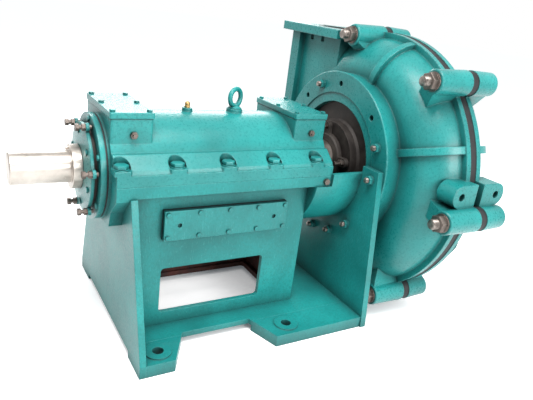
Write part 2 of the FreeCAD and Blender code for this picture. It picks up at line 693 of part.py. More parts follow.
def make_cartridge():
    r_drive, r_pump = DRIVE_BEARING_R, PUMP_BEARING_R
    mid = min(r_drive, r_pump) - 12
    body = turned([(COVER_X1, r_drive), (COVER_X1, CARTRIDGE_R), (CARTRIDGE_X1, CARTRIDGE_R),
                   (CARTRIDGE_X1, r_pump), (PUMP_BEARING_X0, r_pump), (PUMP_BEARING_X0, mid),
                   (DRIVE_BEARING_X1, mid), (DRIVE_BEARING_X1, r_drive)])
    holes = []
    for angle in spaced(6, COVER_BOLT_ANGLE):
        y, z = polar(COVER_BOLT_CIRCLE_R, angle)
        holes.append(rod(COVER_X1 - 1, COVER_X1 + 24, COVER_BOLT_R + AIR, y, z))
        holes.append(rod(CARTRIDGE_X1 - 24, CARTRIDGE_X1 + 1, COVER_BOLT_R + AIR, y, z))
    keep("bearing_cartridge", cut(body, holes))


def cover_bolt(x_seat, direction, y, z):
    """Hexagon screw from its seat into the cartridge end; direction is +1 towards the pump."""
    ends = sorted((x_seat, x_seat - direction * 12))
    shank = sorted((x_seat - direction, x_seat + direction * 30))
    return join([hexagon(ends[0], ends[1], 19.0, y, z), rod(shank[0], shank[1], COVER_BOLT_R, y, z)])


def make_end_covers():
    spigot = DRIVE_BEARING_R - SEAT
    race_in = DRIVE_BEARING_R - RACE_T
    pocket = 80.0
    seal_x0 = NOSE_X + 4
    drive = turned([(NOSE_X, SEAL_R + 2), (NOSE_X, COVER_NOSE_R), (COVER_X0 - 1, COVER_FLANGE_R - 8),
                    (COVER_X0, COVER_FLANGE_R), (COVER_X1, COVER_FLANGE_R), (COVER_X1, spigot),
                    (DRIVE_BEARING_X0 - AIR, spigot), (DRIVE_BEARING_X0 - AIR, race_in),
                    (seal_x0 + SEAL_W + 4, race_in), (seal_x0 + SEAL_W + 4, pocket + 1),
                    (seal_x0 + SEAL_W, pocket), (seal_x0, pocket), (seal_x0, SEAL_R + 2)])
    bolts, tools = [], []
    for angle in spaced(6, COVER_BOLT_ANGLE):
        y, z = polar(COVER_BOLT_CIRCLE_R, angle)
        tools.append(rod(NOSE_X - 1, COVER_X0 + 3, 13.0, y, z))
        tools.append(rod(NOSE_X - 1, COVER_X1 + 1, COVER_BOLT_R + AIR, y, z))
        bolts.append(cover_bolt(COVER_X0 + 3, 1, y, z))
    lugs = [drive]
    for angle in spaced(6, SCREW_ANGLE):
        y, z = polar(SCREW_CIRCLE_R, angle)
        lugs.append(rod(COVER_X0, COVER_X1, COVER_LUG_R, y, z))
        tools.append(rod(NOSE_X - 1, COVER_X1 + 1, ADJUST_SCREW_R + AIR, y, z))
    keep("end_cover_drive", cut(join(lugs), tools))

    spigot = PUMP_BEARING_R - SEAT
    race_in = PUMP_BEARING_R - RACE_T
    end = CARTRIDGE_X1 + PUMP_COVER_T
    seal_end = end - 4
    pump = turned([(end, NECK_R + 2), (end, CARTRIDGE_R - 12), (end - 3, CARTRIDGE_R - 2),
                   (CARTRIDGE_X1, CARTRIDGE_R - 2), (CARTRIDGE_X1, spigot),
                   (PUMP_BEARING_X1 + AIR, spigot), (PUMP_BEARING_X1 + AIR, race_in),
                   (CARTRIDGE_X1 - 3, race_in), (CARTRIDGE_X1 - 3, 85.0), (seal_end, 85.0),
                   (seal_end, NECK_R + 2)])
    tools = []
    for angle in spaced(6, COVER_BOLT_ANGLE):
        y, z = polar(COVER_BOLT_CIRCLE_R, angle)
        tools.append(rod(CARTRIDGE_X1 - 1, end + 1, COVER_BOLT_R + AIR, y, z))
        bolts.append(cover_bolt(end, -1, y, z))
    keep("end_cover_pump", cut(pump, tools))
    keep("end_cover_bolts", Part.makeCompound(bolts))
    seals = [ring(seal_x0 + AIR, seal_x0 + SEAL_W, pocket - SEAT, SEAL_R + RUN),
             ring(seal_end - SEAL_W, seal_end - AIR, 85.0 - SEAT, NECK_R + RUN)]
    keep("oil_seals", Part.makeCompound(seals))


def make_adjusting_screws():
    screws = []
    tip = RING_X0 - ADJUST_TIP_GAP
    for angle in spaced(6, SCREW_ANGLE):
        y, z = polar(SCREW_CIRCLE_R, angle)
        x0 = tip - ADJUST_SCREW_LEN
        parts = [rod(x0, tip, ADJUST_SCREW_R, y, z), hexagon(x0 - 12, x0 + 1, 24.0, y, z),
                 hexagon(COVER_X0 - AIR - 13, COVER_X0 - AIR, 24.0, y, z)]
        screws.append(join(parts))
    keep("adjusting_screws", Part.makeCompound(screws))


def make_bearing(name, x0, x1, r_out, journal_r):
    outer_in = r_out - RACE_T
    inner_out = journal_r + INNER_RACE_T
    keep(name + "_outer_ring", ring(x0 + AIR, x1 - AIR, r_out - SEAT, outer_in))
    keep(name + "_inner_ring", ring(x0 + AIR, x1 - AIR, inner_out, journal_r + SEAT))
    pitch_r = (outer_in + inner_out) / 2
    roller_r = (outer_in - inner_out) / 2 - RUN
    end = 12.0
    parts = [ring(x0 + end, x0 + end + 7, pitch_r + 4, pitch_r - 4),
             ring(x1 - end - 7, x1 - end, pitch_r + 4, pitch_r - 4)]
    for angle in spaced(ROLLER_COUNT, 0):
        y, z = polar(pitch_r, angle)
        parts.append(rod(x0 + end + 2, x1 - end - 2, roller_r, y, z))
    keep(name + "_rollers", join(parts))


# ---------------------------------------------------------------- rotor

def sleeve_span():
    return HOUSING_X1 + 69, IMPELLER_BOSS_X0 - AIR


def make_rotor():
    sleeve_x0, sleeve_x1 = sleeve_span()
    seal_x1 = DRIVE_BEARING_X0 - AIR
    shaft_end = IMPELLER_BOSS_X0 + THREAD_LEN
    c = STUB_CHAMFER
    shaft = turned([(SHAFT_X0, 0), (SHAFT_X0, STUB_R - c), (SHAFT_X0 + c, STUB_R), (COLLAR_X0, STUB_R),
                    (COLLAR_X0, COLLAR_SEAT_R), (COLLAR_X1 + AIR, COLLAR_SEAT_R), (COLLAR_X1 + AIR, SEAL_R),
                    (seal_x1, SEAL_R), (seal_x1, DRIVE_JOURNAL_R),
                    (DRIVE_BEARING_X1, DRIVE_JOURNAL_R), (DRIVE_BEARING_X1, MID_SHAFT_R),
                    (PUMP_BEARING_X0, MID_SHAFT_R), (PUMP_BEARING_X0, PUMP_JOURNAL_R),
                    (PUMP_BEARING_X1, PUMP_JOURNAL_R), (PUMP_BEARING_X1, NECK_R), (sleeve_x0, NECK_R),
                    (sleeve_x0, SLEEVE_SEAT_R), (IMPELLER_BOSS_X0, SLEEVE_SEAT_R),
                    (IMPELLER_BOSS_X0, THREAD_R), (shaft_end, THREAD_R), (shaft_end, 0)])
    keep("shaft", shaft)
    collar = ring(COLLAR_X0, COLLAR_X1, COLLAR_R, COLLAR_SEAT_R + SEAT)
    y, z = polar(COLLAR_R - 14, 112)
    screw = rod(COLLAR_X0 - 9, COLLAR_X0 + 1, 7.0, y, z)
    keep("labyrinth_collar", join([collar, screw]))
    nuts = [ring(DRIVE_BEARING_X0 - NUT_T, DRIVE_BEARING_X0 - 2 * AIR, SEAL_R + NUT_WALL, SEAL_R + SEAT),
            ring(PUMP_BEARING_X1, PUMP_BEARING_X1 + NUT_T, NECK_R + NUT_WALL - 3, NECK_R + SEAT)]
    keep("bearing_nuts", Part.makeCompound(nuts))
    slinger = turned([(SLINGER_X, NECK_R + SEAT), (SLINGER_X, SLINGER_R), (SLINGER_X + 4, SLINGER_R),
                      (SLINGER_X + 7, NECK_R + 16), (SLINGER_X + SLINGER_T + 8, NECK_R + 16),
                      (SLINGER_X + SLINGER_T + 8, NECK_R + SEAT)])
    keep("water_slinger", slinger)
    keep("shaft_sleeve", ring(sleeve_x0 + AIR, sleeve_x1, SLEEVE_R, SLEEVE_SEAT_R + SEAT))


def mirror_seam(shape):
    return shape.mirror(V(SEAM_X, 0, 0), X_DIR)


LINER_FACE_X = BOWL_X0 + CASING_WALL + 2 * AIR + LINER_T
FRONT_FACE_X = 2 * SEAM_X - LINER_FACE_X
IMPELLER_X0 = LINER_FACE_X + IMPELLER_BACK_GAP + BACK_VANE_H
IMPELLER_X1 = FRONT_FACE_X - IMPELLER_GAP
IMPELLER_BOSS_X0 = LINER_FACE_X - LINER_T - 24.0


def vane(angle):
    """One backward-curved vane: an arc band from the eye to the rim, between the two shrouds."""
    r_in, r_out = 118.0, IMPELLER_R - 8
    sweep = 62.0
    steps = ((r_in, 0.0), ((r_in + r_out) / 2, sweep * 0.36), (r_out, sweep))
    outer, inner = [], []
    for radius, turn in steps:
        a = math.radians(angle + turn)
        lag = VANE_T / 2 / radius
        outer.append(V(0, radius * math.cos(a + lag), radius * math.sin(a + lag)))
        inner.append(V(0, radius * math.cos(a - lag), radius * math.sin(a - lag)))
    edges = [Part.Arc(*outer).toShape(), Part.makeLine(outer[2], inner[2]),
             Part.Arc(inner[2], inner[1], inner[0]).toShape(), Part.makeLine(inner[0], outer[0])]
    return Part.Face(Part.Wire(edges))


def make_impeller():
    x0, x1 = IMPELLER_X0, IMPELLER_X1
    lip_x = x1 - EYE_LIP_LEN
    back = turned([(IMPELLER_BOSS_X0, 0), (IMPELLER_BOSS_X0, IMPELLER_BOSS_R), (x0, IMPELLER_BOSS_R),
                   (x0, IMPELLER_R), (x0 + SHROUD_T, IMPELLER_R), (x0 + SHROUD_T, 130), (x0 + 62, 78),
                   (x0 + 96, 30), (x0 + 100, 0)])
    front = turned([(lip_x - SHROUD_T, IMPELLER_R), (lip_x, IMPELLER_R), (lip_x, INLET_R + EYE_LIP),
                    (x1, INLET_R + EYE_LIP), (x1, INLET_R), (lip_x - SHROUD_T - 6, INLET_R + 8)])
    parts = [back, front]
    for angle in spaced(VANE_COUNT, 0):
        blade = vane(angle)
        blade.translate(V(x0 + SHROUD_T - 2, 0, AXIS_Z))
        parts.append(blade.extrude(V(lip_x - x0 - 2 * SHROUD_T + 6, 0, 0)))
        rib = vane(angle)
        rib.translate(V(x0 - BACK_VANE_H, 0, AXIS_Z))
        parts.append(rib.extrude(V(BACK_VANE_H + 2, 0, 0)))
    bore = rod(IMPELLER_BOSS_X0 - 1, IMPELLER_BOSS_X0 + THREAD_LEN + AIR, THREAD_R + SEAT)
    keep("impeller", join(parts).cut(bore))


# ---------------------------------------------------------------- gland and stuffing box

def gland_angles():
    return spaced(4, GLAND_ANGLE)


def make_stuffing_box():
    web_x0 = BOX_FACE_X + BOX_HUB_LEN
    step_x = web_x0 + 20
    back = BOWL_X0 + CASING_WALL
    chamber = BOX_FACE_X + CHAMBER_LEN
    body = turned([(BOX_FACE_X, BOX_BORE_R), (BOX_FACE_X, BOX_HUB_R), (web_x0 - 10, BOX_HUB_R + 4),
                   (web_x0, BOX_HUB_R + 14), (web_x0, BOX_WEB_R - AIR), (step_x, BOX_WEB_R - AIR),
                   (step_x, BOX_STEP_R - AIR), (back, BOX_STEP_R - AIR), (back, BOX_HUB_R + 38), (chamber + 6, BOX_HUB_R + 18),
                   (chamber + 6, SLEEVE_R + 2), (chamber, SLEEVE_R + 2), (chamber, BOX_BORE_R)])
    holes = [rod(BOX_FACE_X - 1, BOX_FACE_X + GLAND_STUD_DEPTH, GLAND_STUD_R + AIR,
                 *polar(GLAND_STUD_CIRCLE_R, a)) for a in gland_angles()]
    keep("stuffing_box", cut(body, holes))
    studs = [rod(BOX_FACE_X - GLAND_STUD_LEN, BOX_FACE_X + GLAND_STUD_DEPTH - 2, GLAND_STUD_R,
                 *polar(GLAND_STUD_CIRCLE_R, a)) for a in gland_angles()]
    keep("gland_studs", Part.makeCompound(studs))
    r_out = BOX_BORE_R - SEAT
    keep("lantern_ring", lantern(chamber - LANTERN_W, chamber, r_out))
    first = chamber - LANTERN_W
    rings = [ring(first - PACKING_W * (k + 1), first - PACKING_W * k, r_out, SLEEVE_R + RUN)
             for k in range(PACKING_COUNT)]
    keep("packing_rings", Part.makeCompound(rings))


def lantern(x0, x1, r_out):
    """Bronze ring with a groove outside and a groove inside for flushing water."""
    r_in = SLEEVE_R + 10 * RUN
    body = turned([(x0, r_in), (x0, r_out), (x0 + 4, r_out), (x0 + 5, r_out - 5), (x1 - 5, r_out - 5),
                   (x1 - 4, r_out), (x1, r_out), (x1, r_in), (x1 - 4, r_in), (x1 - 5, r_in + 5),
                   (x0 + 5, r_in + 5), (x0 + 4, r_in)])
    return body


def make_gland():
    x1 = BOX_FACE_X - GLAND_STAND
    x0 = x1 - GLAND_T
    flange = turned([(x0, GLAND_BORE_R), (x0, GLAND_R - 6), (x0 + 6, GLAND_R), (x1, GLAND_R),
                     (x1, BOX_BORE_R - 2 * AIR), (BOX_FACE_X + GLAND_SPIGOT, BOX_BORE_R - 2 * AIR),
                     (BOX_FACE_X + GLAND_SPIGOT, GLAND_BORE_R)])
    parts, holes, nuts = [flange], [], []
    for a in gland_angles():
        y, z = polar(GLAND_STUD_CIRCLE_R, a)
        parts.append(rod(x0 + 3, x1, GLAND_LUG_R, y, z))
        web = block(x0 + 3, x1, -GLAND_STUD_CIRCLE_R, -GLAND_R + 14, AXIS_Z - GLAND_LUG_R, AXIS_Z + GLAND_LUG_R)
        web.rotate(V(0, 0, AXIS_Z), X_DIR, -a)
        parts.append(web)
        holes.append(rod(x0 - 1, x1 + 1, GLAND_STUD_R + BOLT_AIR, y, z))
        nut = hexagon(x0 + 3 - AIR - 17, x0 + 3 - AIR, 30.0, y, z)
        nuts.append(nut.cut(rod(x0 - FAR, x0 + FAR, GLAND_STUD_R + AIR, y, z)))
    body = cut(join(parts), holes)
    for name, side in (("gland_half_outer", 1), ("gland_half_inner", -1)):
        half = block(x0 - 1, FRONT_X1 + FAR, -FAR, FAR, AXIS_Z + SPLIT / 2, AXIS_Z + FAR)
        half.rotate(V(0, 0, AXIS_Z), X_DIR, 45 - GLAND_ANGLE if side > 0 else 225 - GLAND_ANGLE)
        keep(name, body.common(half))
    keep("gland_nuts", Part.makeCompound(nuts))


# ---------------------------------------------------------------- casing and liners

def bowl(offset, x_end):
    """Casing scroll's outer form, or the form a given depth below its skin."""
    x0, arc = BOWL_X0 + offset, BOWL_ARC_R - offset
    mid = arc * math.sqrt(0.5)
    x_arc = BOWL_X0 + BOWL_ARC_R
    return turned([(x0, 0), (x0, BOWL_FLAT_R), (x_arc - mid, BOWL_FLAT_R + mid, x_arc, BOWL_FLAT_R + arc),
                   (x_end, BOWL_FLAT_R + arc), (x_end, 0)], CASING_Y, CASING_Z)


def neck_wire(x, inset):
    """Side outline of the outlet neck and the scroll below it, one closed wire."""
    y0, y1 = NECK_Y0 + inset, NECK_Y1 - inset
    top = AXIS_Z + NECK_TOP
    a, b, c = V(x, y1, AXIS_Z + 60), V(x, y1 - 14, AXIS_Z - 60), V(x, y1 - 56, AXIS_Z - 170 + inset)
    edges = [Part.makeLine(V(x, y0, top), V(x, y1, top)), Part.makeLine(V(x, y1, top), a),
             Part.Arc(a, b, c).toShape(), Part.makeLine(c, V(x, y0, AXIS_Z)),
             Part.makeLine(V(x, y0, AXIS_Z), V(x, y0, top))]
    return Part.Wire(edges)


def bolt_tube(y, z, length):
    """Tapered boss for one casing bolt, with the sloping web that fairs it into the bowl."""
    x0 = RIM_X1 - length
    tube = turned([(x0, 0), (x0, TUBE_TIP_R - 4), (x0 + 4, TUBE_TIP_R), (RIM_X1, TUBE_R), (RIM_X1, 0)], y, z)
    out = math.hypot(y - CASING_Y, z - CASING_Z)
    mid = BOWL_ARC_R * math.sqrt(0.5)
    root = BOWL_FLAT_R + mid - 20
    web = [(x0 + 8, out), (x0 + 8, out - TUBE_TIP_R + 12), (BOWL_X0 + BOWL_ARC_R - mid, root),
           (RIM_X1, root), (RIM_X1, out)]
    return [tube, reach(web, y, z, TUBE_TIP_R - 10)]


def reach(outline, y, z, half):
    """Plate with an (x, radius) outline, set on the line from the scroll's centre to (y, z)."""
    points = [V(x, r, AXIS_Z - half) for x, r in outline]
    web = Part.Face(Part.makePolygon(points + points[:1])).extrude(V(0, 0, 2 * half))
    web.rotate(V(0, 0, AXIS_Z), X_DIR, math.degrees(math.atan2(z - CASING_Z, y - CASING_Y)))
    web.translate(V(0, CASING_Y, CASING_Z))
    return web


def casing_bolt_places():
    """(y, z) of each casing bolt from the shaft axis."""
    places = []
    for angle, out in CASING_BOLTS:
        y, z = polar(RIM_R + out, angle)
        places.append((CASING_Y + y, CASING_Z + z))
    return places


def casing_half(tube_len, bore_len):
    """Shell half on the drive side of the seam, without its own hub: bowl, rim, neck and bosses."""
    rim = rod(RIM_X0, RIM_X1, RIM_R, CASING_Y, CASING_Z)
    neck = Part.makeLoft([neck_wire(NECK_X0, 22.0), neck_wire(RIM_X1, 0.0)], True, True)
    parts = [bowl(0.0, RIM_X1), rim, neck]
    z0, z1 = AXIS_Z + NECK_TOP, AXIS_Z + NECK_TOP + OUTLET_FLANGE_T
    half_len = OUTLET_FLANGE_LEN / 2
    parts.append(block(SEAM_X - OUTLET_FLANGE_DEPTH, RIM_X1, OUTLET_Y - half_len, OUTLET_Y + half_len, z0, z1))
    rib_x0 = NECK_X0 - NECK_RIB_T
    parts.append(block(rib_x0, NECK_X0 + 40, NECK_Y1 - NECK_RIB_W - 22, NECK_Y1 - 22, AXIS_Z + 60, z0))
    for y, z in casing_bolt_places():
        parts += bolt_tube(y, z, tube_len)
    parts.append(lifting_lug())
    body = join(parts)
    tools = [bowl(CASING_WALL, RIM_X1 + 1), lug_hole(),
             post(SEAM_X, OUTLET_Y, AXIS_Z, FAR, OUTLET_R + OUTLET_LINER + AIR)]
    for y, z in casing_bolt_places():
        tools.append(rod(RIM_X1 - bore_len, RIM_X1 + 1, CASING_BOLT_R + BOLT_AIR, y, z))
    for angle in spaced(OUTLET_HOLES, 180.0 / OUTLET_HOLES):
        a = math.radians(angle)
        x, y = SEAM_X + OUTLET_PCD / 2 * math.cos(a), OUTLET_Y + OUTLET_PCD / 2 * math.sin(a)
        tools.append(post(x, y, z0 - 30, z1 + 1, OUTLET_HOLE_R))
    return cut(body, tools)


def lifting_lug():
    """Round-nosed ear at the rim, with a hole for a shackle pin."""
    x_hole = SEAM_X - LUG_FROM_SEAM
    y0, y1 = LUG_Y - LUG_T / 2, LUG_Y + LUG_T / 2
    z = AXIS_Z + LUG_Z
    nose = Part.makeCylinder(LUG_R, LUG_T, V(x_hole, y0, z), Y_DIR)
    return join([nose, block(x_hole, RIM_X1, y0, y1, z - LUG_R, z + LUG_R)])


def lug_hole():
    return Part.makeCylinder(LUG_HOLE_R, 3 * LUG_T, V(SEAM_X - LUG_FROM_SEAM, LUG_Y - LUG_T, AXIS_Z + LUG_Z),
                             Y_DIR)


def ribs(angles):
    """Stiffeners that follow the bowl from the hub to the rim, one at each angle."""
    skin = bowl(-RIB_PROUD, RIM_X1).cut(rod(HUB_X1 - FAR, RIM_X1 + 1, HUB_BACK_R - 20))
    made = []
    for angle in angles:
        slab = block(0, RIM_X0 + 2, -FAR / 2, 0, AXIS_Z - RIB_T / 2, AXIS_Z + RIB_T / 2)
        slab.rotate(V(0, 0, AXIS_Z), X_DIR, -angle)
        made.append(skin.common(slab))
    return made


def casing_bores(x_step):
    return [rod(FRONT_X1 - 1, FRONT_X1 + RING_RECESS, RING_RECESS_R),
            rod(FRONT_X1 - 1, x_step + 1, BOX_WEB_R), rod(x_step, BOWL_X0 + FAR, BOX_STEP_R)]


def make_casing():
    half = casing_half(BACK_TUBE_LEN, BACK_TUBE_LEN + 1)
    cover_half = casing_half(COVER_TUBE_LEN, BLIND_DEPTH)
    x_step = BOX_FACE_X + BOX_HUB_LEN + 20
    inside = BOX_WEB_R - 1
    hub = turned([(FRONT_X1, inside), (FRONT_X1, HUB_R - 3), (FRONT_X1 + 3, HUB_R), (HUB_X1, HUB_BACK_R),
                  (HUB_X1, inside)])
    back = join([half, hub] + ribs(BACK_RIB_ANGLES))
    tools = casing_bores(x_step)
    for angle in OUTER_STUD_ANGLES + OPEN_HOLE_ANGLES + LINER_STUD_ANGLES:
        y, z = polar(RING_BOLT_R, angle)
        tools.append(rod(FRONT_X1 - 1, FRONT_X1 + WALL_STUD_DEPTH + 2, WALL_STUD_R + BOLT_AIR, y, z))
    back = cut(back, tools + [bowl(CASING_WALL, RIM_X1 + 1)])
    keep("casing_back", back)

    front_x = 2 * SEAM_X - BOWL_X0
    end = front_x + INLET_LEN
    pipe_r = INLET_R + INLET_LINER + INLET_WALL
    inlet = turned([(front_x - 10, INLET_R), (front_x - 10, pipe_r + 70), (front_x, pipe_r + 62),
                    (front_x + 24, pipe_r), (end - INLET_FLANGE_T, pipe_r), (end - INLET_FLANGE_T, INLET_FLANGE_R),
                    (end, INLET_FLANGE_R), (end, INLET_R)])
    cover = join([mirror_seam(cover_half), inlet] + [mirror_seam(r) for r in ribs(COVER_RIB_ANGLES)])
    tools = [rod(RIM_X1, end + 1, INLET_R + INLET_LINER + AIR), mirror_seam(bowl(CASING_WALL, RIM_X1 + 1))]
    for angle in spaced(INLET_HOLES, 180.0 / INLET_HOLES):
        y, z = polar(INLET_PCD / 2, angle)
        tools.append(rod(end - INLET_FLANGE_T - 1, end + 1, INLET_HOLE_R, y, z))
    keep("casing_cover", cut(cover, tools))
    return end


def liner_half():
    """Drive-side half of the volute liner, with the flange that shows in the seam."""
    shell = bowl(CASING_WALL + 2 * AIR, SEAM_X)
    flange = rod(RIM_X1 + AIR, SEAM_X, LINER_FLANGE_R, CASING_Y, CASING_Z)
    z_top = AXIS_Z + NECK_TOP + OUTLET_FLANGE_T
    neck = post(SEAM_X, OUTLET_Y, AXIS_Z, z_top, OUTLET_R + OUTLET_LINER)
    strip = block(RIM_X1 + AIR, SEAM_X, NECK_Y0 + 12, NECK_Y1 - 10, AXIS_Z, z_top - 6)
    parts = [shell, flange, neck.common(block(-FAR, SEAM_X, -FAR, FAR, 0, FAR)), strip]
    for y, z in casing_bolt_places():
        parts.append(rod(RIM_X1 + AIR, SEAM_X, TUBE_R - 3, y, z))
        out = math.hypot(y - CASING_Y, z - CASING_Z)
        tongue = [(RIM_X1 + AIR, LINER_FLANGE_R - TUBE_R), (RIM_X1 + AIR, out), (SEAM_X, out),
                  (SEAM_X, LINER_FLANGE_R - TUBE_R)]
        parts.append(reach(tongue, y, z, TUBE_R - 20))
    body = join(parts)
    wall = CASING_WALL + 2 * AIR + LINER_T
    tools = [bowl(wall, SEAM_X + 1), post(SEAM_X, OUTLET_Y, AXIS_Z, FAR, OUTLET_R),
             rod(-FAR / 2, SEAM_X, LINER_EYE_R + AIR)]
    for y, z in casing_bolt_places():
        tools.append(rod(RIM_X1 - 1, SEAM_X + 1, CASING_BOLT_R + BOLT_AIR, y, z))
    return cut(body, tools)


def make_liners(inlet_end):
    half = liner_half()
    half = half.cut(block(SEAM_X - AIR / 2, FAR, -FAR, FAR, 0, FAR))
    keep("volute_liner_back", half)
    keep("volute_liner_front", mirror_seam(half))
    x0 = BOWL_X0 + CASING_WALL + 2 * AIR
    keep("back_liner_plate", ring(x0, x0 + LINER_T, LINER_EYE_R, IMPELLER_BOSS_R + 3))
    front_x1 = 2 * SEAM_X - x0
    throat = turned([(FRONT_FACE_X, INLET_R), (FRONT_FACE_X, LINER_EYE_R), (front_x1, LINER_EYE_R),
                     (front_x1, INLET_R + INLET_LINER), (inlet_end - 4, INLET_R + INLET_LINER),
                     (inlet_end - 4, INLET_R)])
    keep("throatbush", throat)
    keep("suction_joint_ring", ring(inlet_end - 4, inlet_end, INLET_R + INLET_LINER, INLET_R))


def wall_stud(x_seat, y, z):
    """Stud screwed into the casing's hub face, with its nut on the given seat."""
    return join([rod(x_seat - WALL_STUD_OUT, FRONT_X1 + WALL_STUD_DEPTH, WALL_STUD_R, y, z),
                 hexagon(x_seat - WALL_NUT_T, x_seat, WALL_NUT_AF, y, z)])


def make_casing_fasteners():
    bolts = []
    for y, z in casing_bolt_places():
        seat = RIM_X1 - BACK_TUBE_LEN
        stud_end = 2 * SEAM_X - RIM_X1 + BLIND_DEPTH - BOLT_AIR
        stud = rod(seat - CASING_NUT_T - CASING_BOLT_END, stud_end, CASING_BOLT_R, y, z)
        bolts.append(join([stud, hexagon(seat - CASING_NUT_T, seat, CASING_NUT_AF, y, z)]))
    keep("casing_bolts", Part.makeCompound(bolts))
    studs = []
    for angle in OUTER_STUD_ANGLES:
        y, z = polar(RING_BOLT_R, angle)
        studs.append(wall_stud(FRONT_X0, y, z))
    keep("wall_studs", Part.makeCompound(studs))
    studs = []
    for angle in LINER_STUD_ANGLES:
        y, z = polar(RING_BOLT_R, angle)
        studs.append(wall_stud(FRONT_X1, y, z))
    keep("liner_studs", Part.makeCompound(studs))


# ---------------------------------------------------------------- build

def main():
    make_base()
    make_walls()
    make_front_wall()
    make_trough()
    make_access_covers()
    make_housing_upper()
    make_housing_lower()
    make_split_bolts()
    make_lids()
    make_eye_bolt()
    make_oil_plugs()
    make_adjusting_ring()
    make_cartridge()
    make_end_covers()
    make_adjusting_screws()
    make_bearing("drive_bearing", DRIVE_BEARING_X0, DRIVE_BEARING_X1, DRIVE_BEARING_R, DRIVE_JOURNAL_R)
    make_bearing("pump_bearing", PUMP_BEARING_X0, PUMP_BEARING_X1, PUMP_BEARING_R, PUMP_JOURNAL_R)
    make_rotor()
    make_impeller()
    make_stuffing_box()
    make_gland()
    inlet_end = make_casing()
    make_liners(inlet_end)
    make_casing_fasteners()
    os.makedirs("parts", exist_ok=True)
    for name, shape in NODES.items():
        shape.exportStep(os.path.join("parts", name + ".step"))
        print(name, len(shape.Solids), round(shape.Volume / 1e6, 3), shape.isValid())


main()
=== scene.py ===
# %% [markdown]
# # A slurry pump, dressed for its portrait
# The construction of this pump comes from its CAD model, which is loaded below and never moved.
# This lesson adds its finishes: brushed enamel with soft edges, red-oxide primer, turned and oiled
# steel, bare iron and rubber. It also makes the largest nuts, the studs and the lifting eye again in
# full detail. Lengths are in metres, in the CAD model's own frame: +X runs along the shaft from the
# drive end to the suction, +Z is up.

from collections import namedtuple
import math

import bmesh
import bpy
from mathutils import Matrix, Vector


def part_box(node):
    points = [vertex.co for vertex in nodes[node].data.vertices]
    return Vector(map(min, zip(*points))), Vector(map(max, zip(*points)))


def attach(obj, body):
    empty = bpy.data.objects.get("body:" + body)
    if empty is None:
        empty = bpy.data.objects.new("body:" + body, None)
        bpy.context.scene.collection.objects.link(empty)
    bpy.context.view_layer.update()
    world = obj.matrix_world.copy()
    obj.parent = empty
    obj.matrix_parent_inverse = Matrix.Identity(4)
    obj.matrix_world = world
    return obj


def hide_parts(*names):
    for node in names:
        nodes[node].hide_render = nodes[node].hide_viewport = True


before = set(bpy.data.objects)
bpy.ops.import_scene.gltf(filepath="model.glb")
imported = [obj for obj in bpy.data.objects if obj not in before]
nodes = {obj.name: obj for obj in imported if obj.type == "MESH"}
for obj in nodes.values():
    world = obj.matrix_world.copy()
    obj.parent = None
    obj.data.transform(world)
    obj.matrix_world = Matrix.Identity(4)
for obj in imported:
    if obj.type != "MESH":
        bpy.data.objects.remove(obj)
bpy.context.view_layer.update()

# %% [markdown]
# ## Sizes that the finishes need
# Primer covers everything inside the pedestal and stops at its walls. Their places are read from the
# packed model, so that a change of a wall carries over.

# %% Read the inside of the pedestal
PRIMER_LAP = 0.001    # reach of the primer past the plates' inner faces
PRIMER_RISE = 0.02    # reach above the side walls, onto the underside of the housing

side_low, side_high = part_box("side_wall_near")
PRIMED_LOW = Vector((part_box("drive_end_wall")[1].x - PRIMER_LAP, side_high.y - PRIMER_LAP, 0))
PRIMED_HIGH = Vector((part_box("pump_end_bulkhead")[0].x + PRIMER_LAP,
                      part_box("side_wall_far")[0].y + PRIMER_LAP, side_high.z + PRIMER_RISE))
print("primed inside from", [round(v, 3) for v in PRIMED_LOW], "to", [round(v, 3) for v in PRIMED_HIGH])

# %% [markdown]
# ## Writing materials as sums
# A procedural material is a small formula, and formulas read best as Python expressions. `Value` wraps
# one socket, so that `1 - mask * 0.5` adds its Math nodes by itself. `Recipe` owns one material and has
# a single method that makes any node.

# %% Value and Recipe


class Value:
    """A socket of a material that can stand in a sum."""

    def __init__(self, recipe, socket):
        self.recipe, self.socket = recipe, socket

    def math(self, operation, *others):
        values = dict(enumerate((self,) + others))
        return self.recipe.node("ShaderNodeMath", {"operation": operation}, values)

    def __add__(self, other):
        return self.math("ADD", other)

    __radd__ = __add__

    def __sub__(self, other):
        return self.math("SUBTRACT", other)

    def __rsub__(self, other):
        return (self * -1.0) + other

    def __mul__(self, other):
        return self.math("MULTIPLY", other)

    __rmul__ = __mul__

    def __truediv__(self, other):
        return self.math("DIVIDE", other)

    def above(self, edge, soft=0.001):
        """1 where the value is over the edge, 0 below it, with a soft step between."""
        return ((self - edge) / soft + 0.5).math("MAXIMUM", 0.0).math("MINIMUM", 1.0)

    def below(self, edge, soft=0.001):
        return 1 - self.above(edge, soft)

    def between(self, low, high, soft=0.001):
        return self.above(low, soft) * self.below(high, soft)


